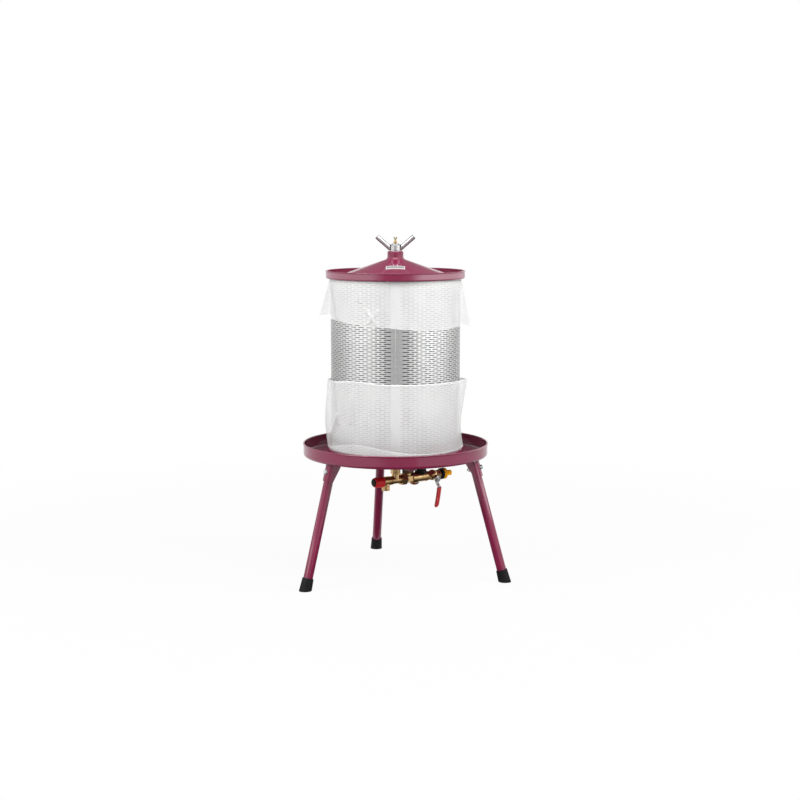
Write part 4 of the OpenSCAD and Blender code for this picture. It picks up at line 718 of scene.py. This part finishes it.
def seenDirectly(tree):
    path = addNode(tree, "ShaderNodeLightPath")
    seen = calc(tree, "MAXIMUM", path.outputs["Is Camera Ray"], path.outputs["Is Glossy Ray"])
    return calc(tree, "MAXIMUM", seen, path.outputs["Is Transmission Ray"])


def makeWorld():
    world = bpy.data.worlds.new("studio")
    bpy.context.scene.world = world
    world.use_nodes = True
    tree = world.node_tree
    tree.nodes.clear()
    soft = addNode(tree, "ShaderNodeBackground", {"Color": (1, 1, 1, 1), "Strength": studio["ambient"]})
    white = addNode(tree, "ShaderNodeBackground", {"Color": (1, 1, 1, 1), "Strength": 1.0})
    mix = addNode(tree, "ShaderNodeMixShader", {0: seenDirectly(tree), 1: soft.outputs[0], 2: white.outputs[0]})
    addNode(tree, "ShaderNodeOutputWorld", {"Surface": mix.outputs[0]})


def makeFloor():
    # flat grid far wider than the view; seen directly it is white, less a share near the press that keeps shadows
    side = np.linspace(-studio["floorHalf"], studio["floorHalf"], 5)
    x, y = np.meshgrid(side, side)
    mesh = bpy.data.meshes.new("floor")
    points = np.stack([x, y, 0 * x + studio["floorZ"]], -1)
    mesh.from_pydata(points.reshape(-1, 3).tolist(), [], gridFaces(5, 5).tolist())
    floor = bpy.data.objects.new("floor", mesh)
    bpy.context.scene.collection.objects.link(floor)
    material, tree, shader = newMaterial("paleFloor", {"Base Color": studio["floorTone"], "Roughness": 0.8})
    white = addNode(tree, "ShaderNodeEmission", {"Color": (1, 1, 1, 1), "Strength": 1.0})
    away = addNode(tree, "ShaderNodeVectorMath", {0: coords(tree)}, operation="LENGTH").outputs["Value"]
    kept = spread(tree, away, studio["floorKeeps"], 0.0, studio["whiteFrom"], studio["whiteBy"])
    share = calc(tree, "MULTIPLY", seenDirectly(tree), calc(tree, "SUBTRACT", 1.0, kept))
    mix = addNode(tree, "ShaderNodeMixShader", {0: share, 1: shader.outputs[0], 2: white.outputs[0]})
    tree.links.new(mix.outputs[0], tree.nodes["Material Output"].inputs["Surface"])
    mesh.materials.append(material)


def makeLamp(name, place, width, power):
    data = bpy.data.lights.new(name, "AREA")
    data.shape = "SQUARE"
    data.size = width
    data.energy = power
    lamp = bpy.data.objects.new(name, data)
    lamp.location = place
    lamp.rotation_euler = (Vector(studio["lookAt"]) - Vector(place)).to_track_quat("-Z", "Y").to_euler()
    bpy.context.scene.collection.objects.link(lamp)


def makeMirrored(name, points, faces, share, glow):
    # sheet that only reflections see; glow turns the share kept at each point into its brightness
    mesh = bpy.data.meshes.new(name)
    mesh.from_pydata(points, [], faces.tolist())
    corner = share[faces.ravel()]
    uv = np.stack([corner, 0 * corner], -1).astype(np.float32).ravel()
    mesh.uv_layers.new(name="share").data.foreach_set("uv", uv)
    piece = bpy.data.objects.new(name, mesh)
    bpy.context.scene.collection.objects.link(piece)
    material, tree, shader = newMaterial(name, {"Base Color": (0, 0, 0, 1), "Roughness": 0.9, "Specular IOR Level": 0.0,
                                                "Emission Color": (1, 1, 1, 1)})
    place = separate(tree, coords(tree, "UV"))[0]
    tree.links.new(glow(tree, place), shader.inputs["Emission Strength"])
    mesh.materials.append(material)
    piece.visible_camera = False
    piece.visible_diffuse = False
    piece.visible_transmission = False
    piece.visible_shadow = False


def makeFlag(name, dark, corners):
    # dark cloth; it brightens to white at its sides, more slowly on the right
    def glow(tree, across):
        onLeft, onRight = spread(tree, across, 1.0, dark, 0.0, 0.14), spread(tree, across, dark, 1.0, 0.62, 1.0)
        return calc(tree, "MAXIMUM", onLeft, onRight)

    rows = len(corners) // 2
    makeMirrored(name, corners, gridFaces(rows, 2), np.tile([0.0, 1.0], rows), glow)


def makeStrip(name, turns, heights, peak, fadeFrom):
    # curved strip 3 m away, light or dark; its height says which part mirrors it
    def glow(tree, along):
        rising, fading = spread(tree, along, 0.0, 1.0, 0.0, 0.15), spread(tree, along, 1.0, 0.0, fadeFrom, 1.0)
        return spread(tree, calc(tree, "MULTIPLY", rising, fading), 1.0, peak)

    columns = 24
    turn = np.radians(np.linspace(*turns, columns))[None, :]
    points = roundPoints(turn - math.pi / 2, 3, np.array(heights)[:, None])
    along = np.tile(np.linspace(0, 1, columns), 2)
    makeMirrored(name, points.reshape(-1, 3).tolist(), gridFaces(2, columns), along, glow)


def makeCamera():
    data = bpy.data.cameras.new("photoView")
    data.sensor_width = view["sensor"]
    data.lens = view["lens"]
    camera = bpy.data.objects.new("photoView", data)
    camera.location = view["place"]
    camera.rotation_euler = (math.pi / 2 - view["down"], 0.0, view["turn"])
    bpy.context.scene.collection.objects.link(camera)
    bpy.context.scene.camera = camera


makeWorld()
makeFloor()
for lamp in lamps:
    makeLamp(*lamp)
for flag in flags:
    makeFlag(*flag)
for strip in strips:
    makeStrip(*strip)
makeCamera()
bpy.context.scene.view_settings.view_transform = "Standard"

print("press: done")
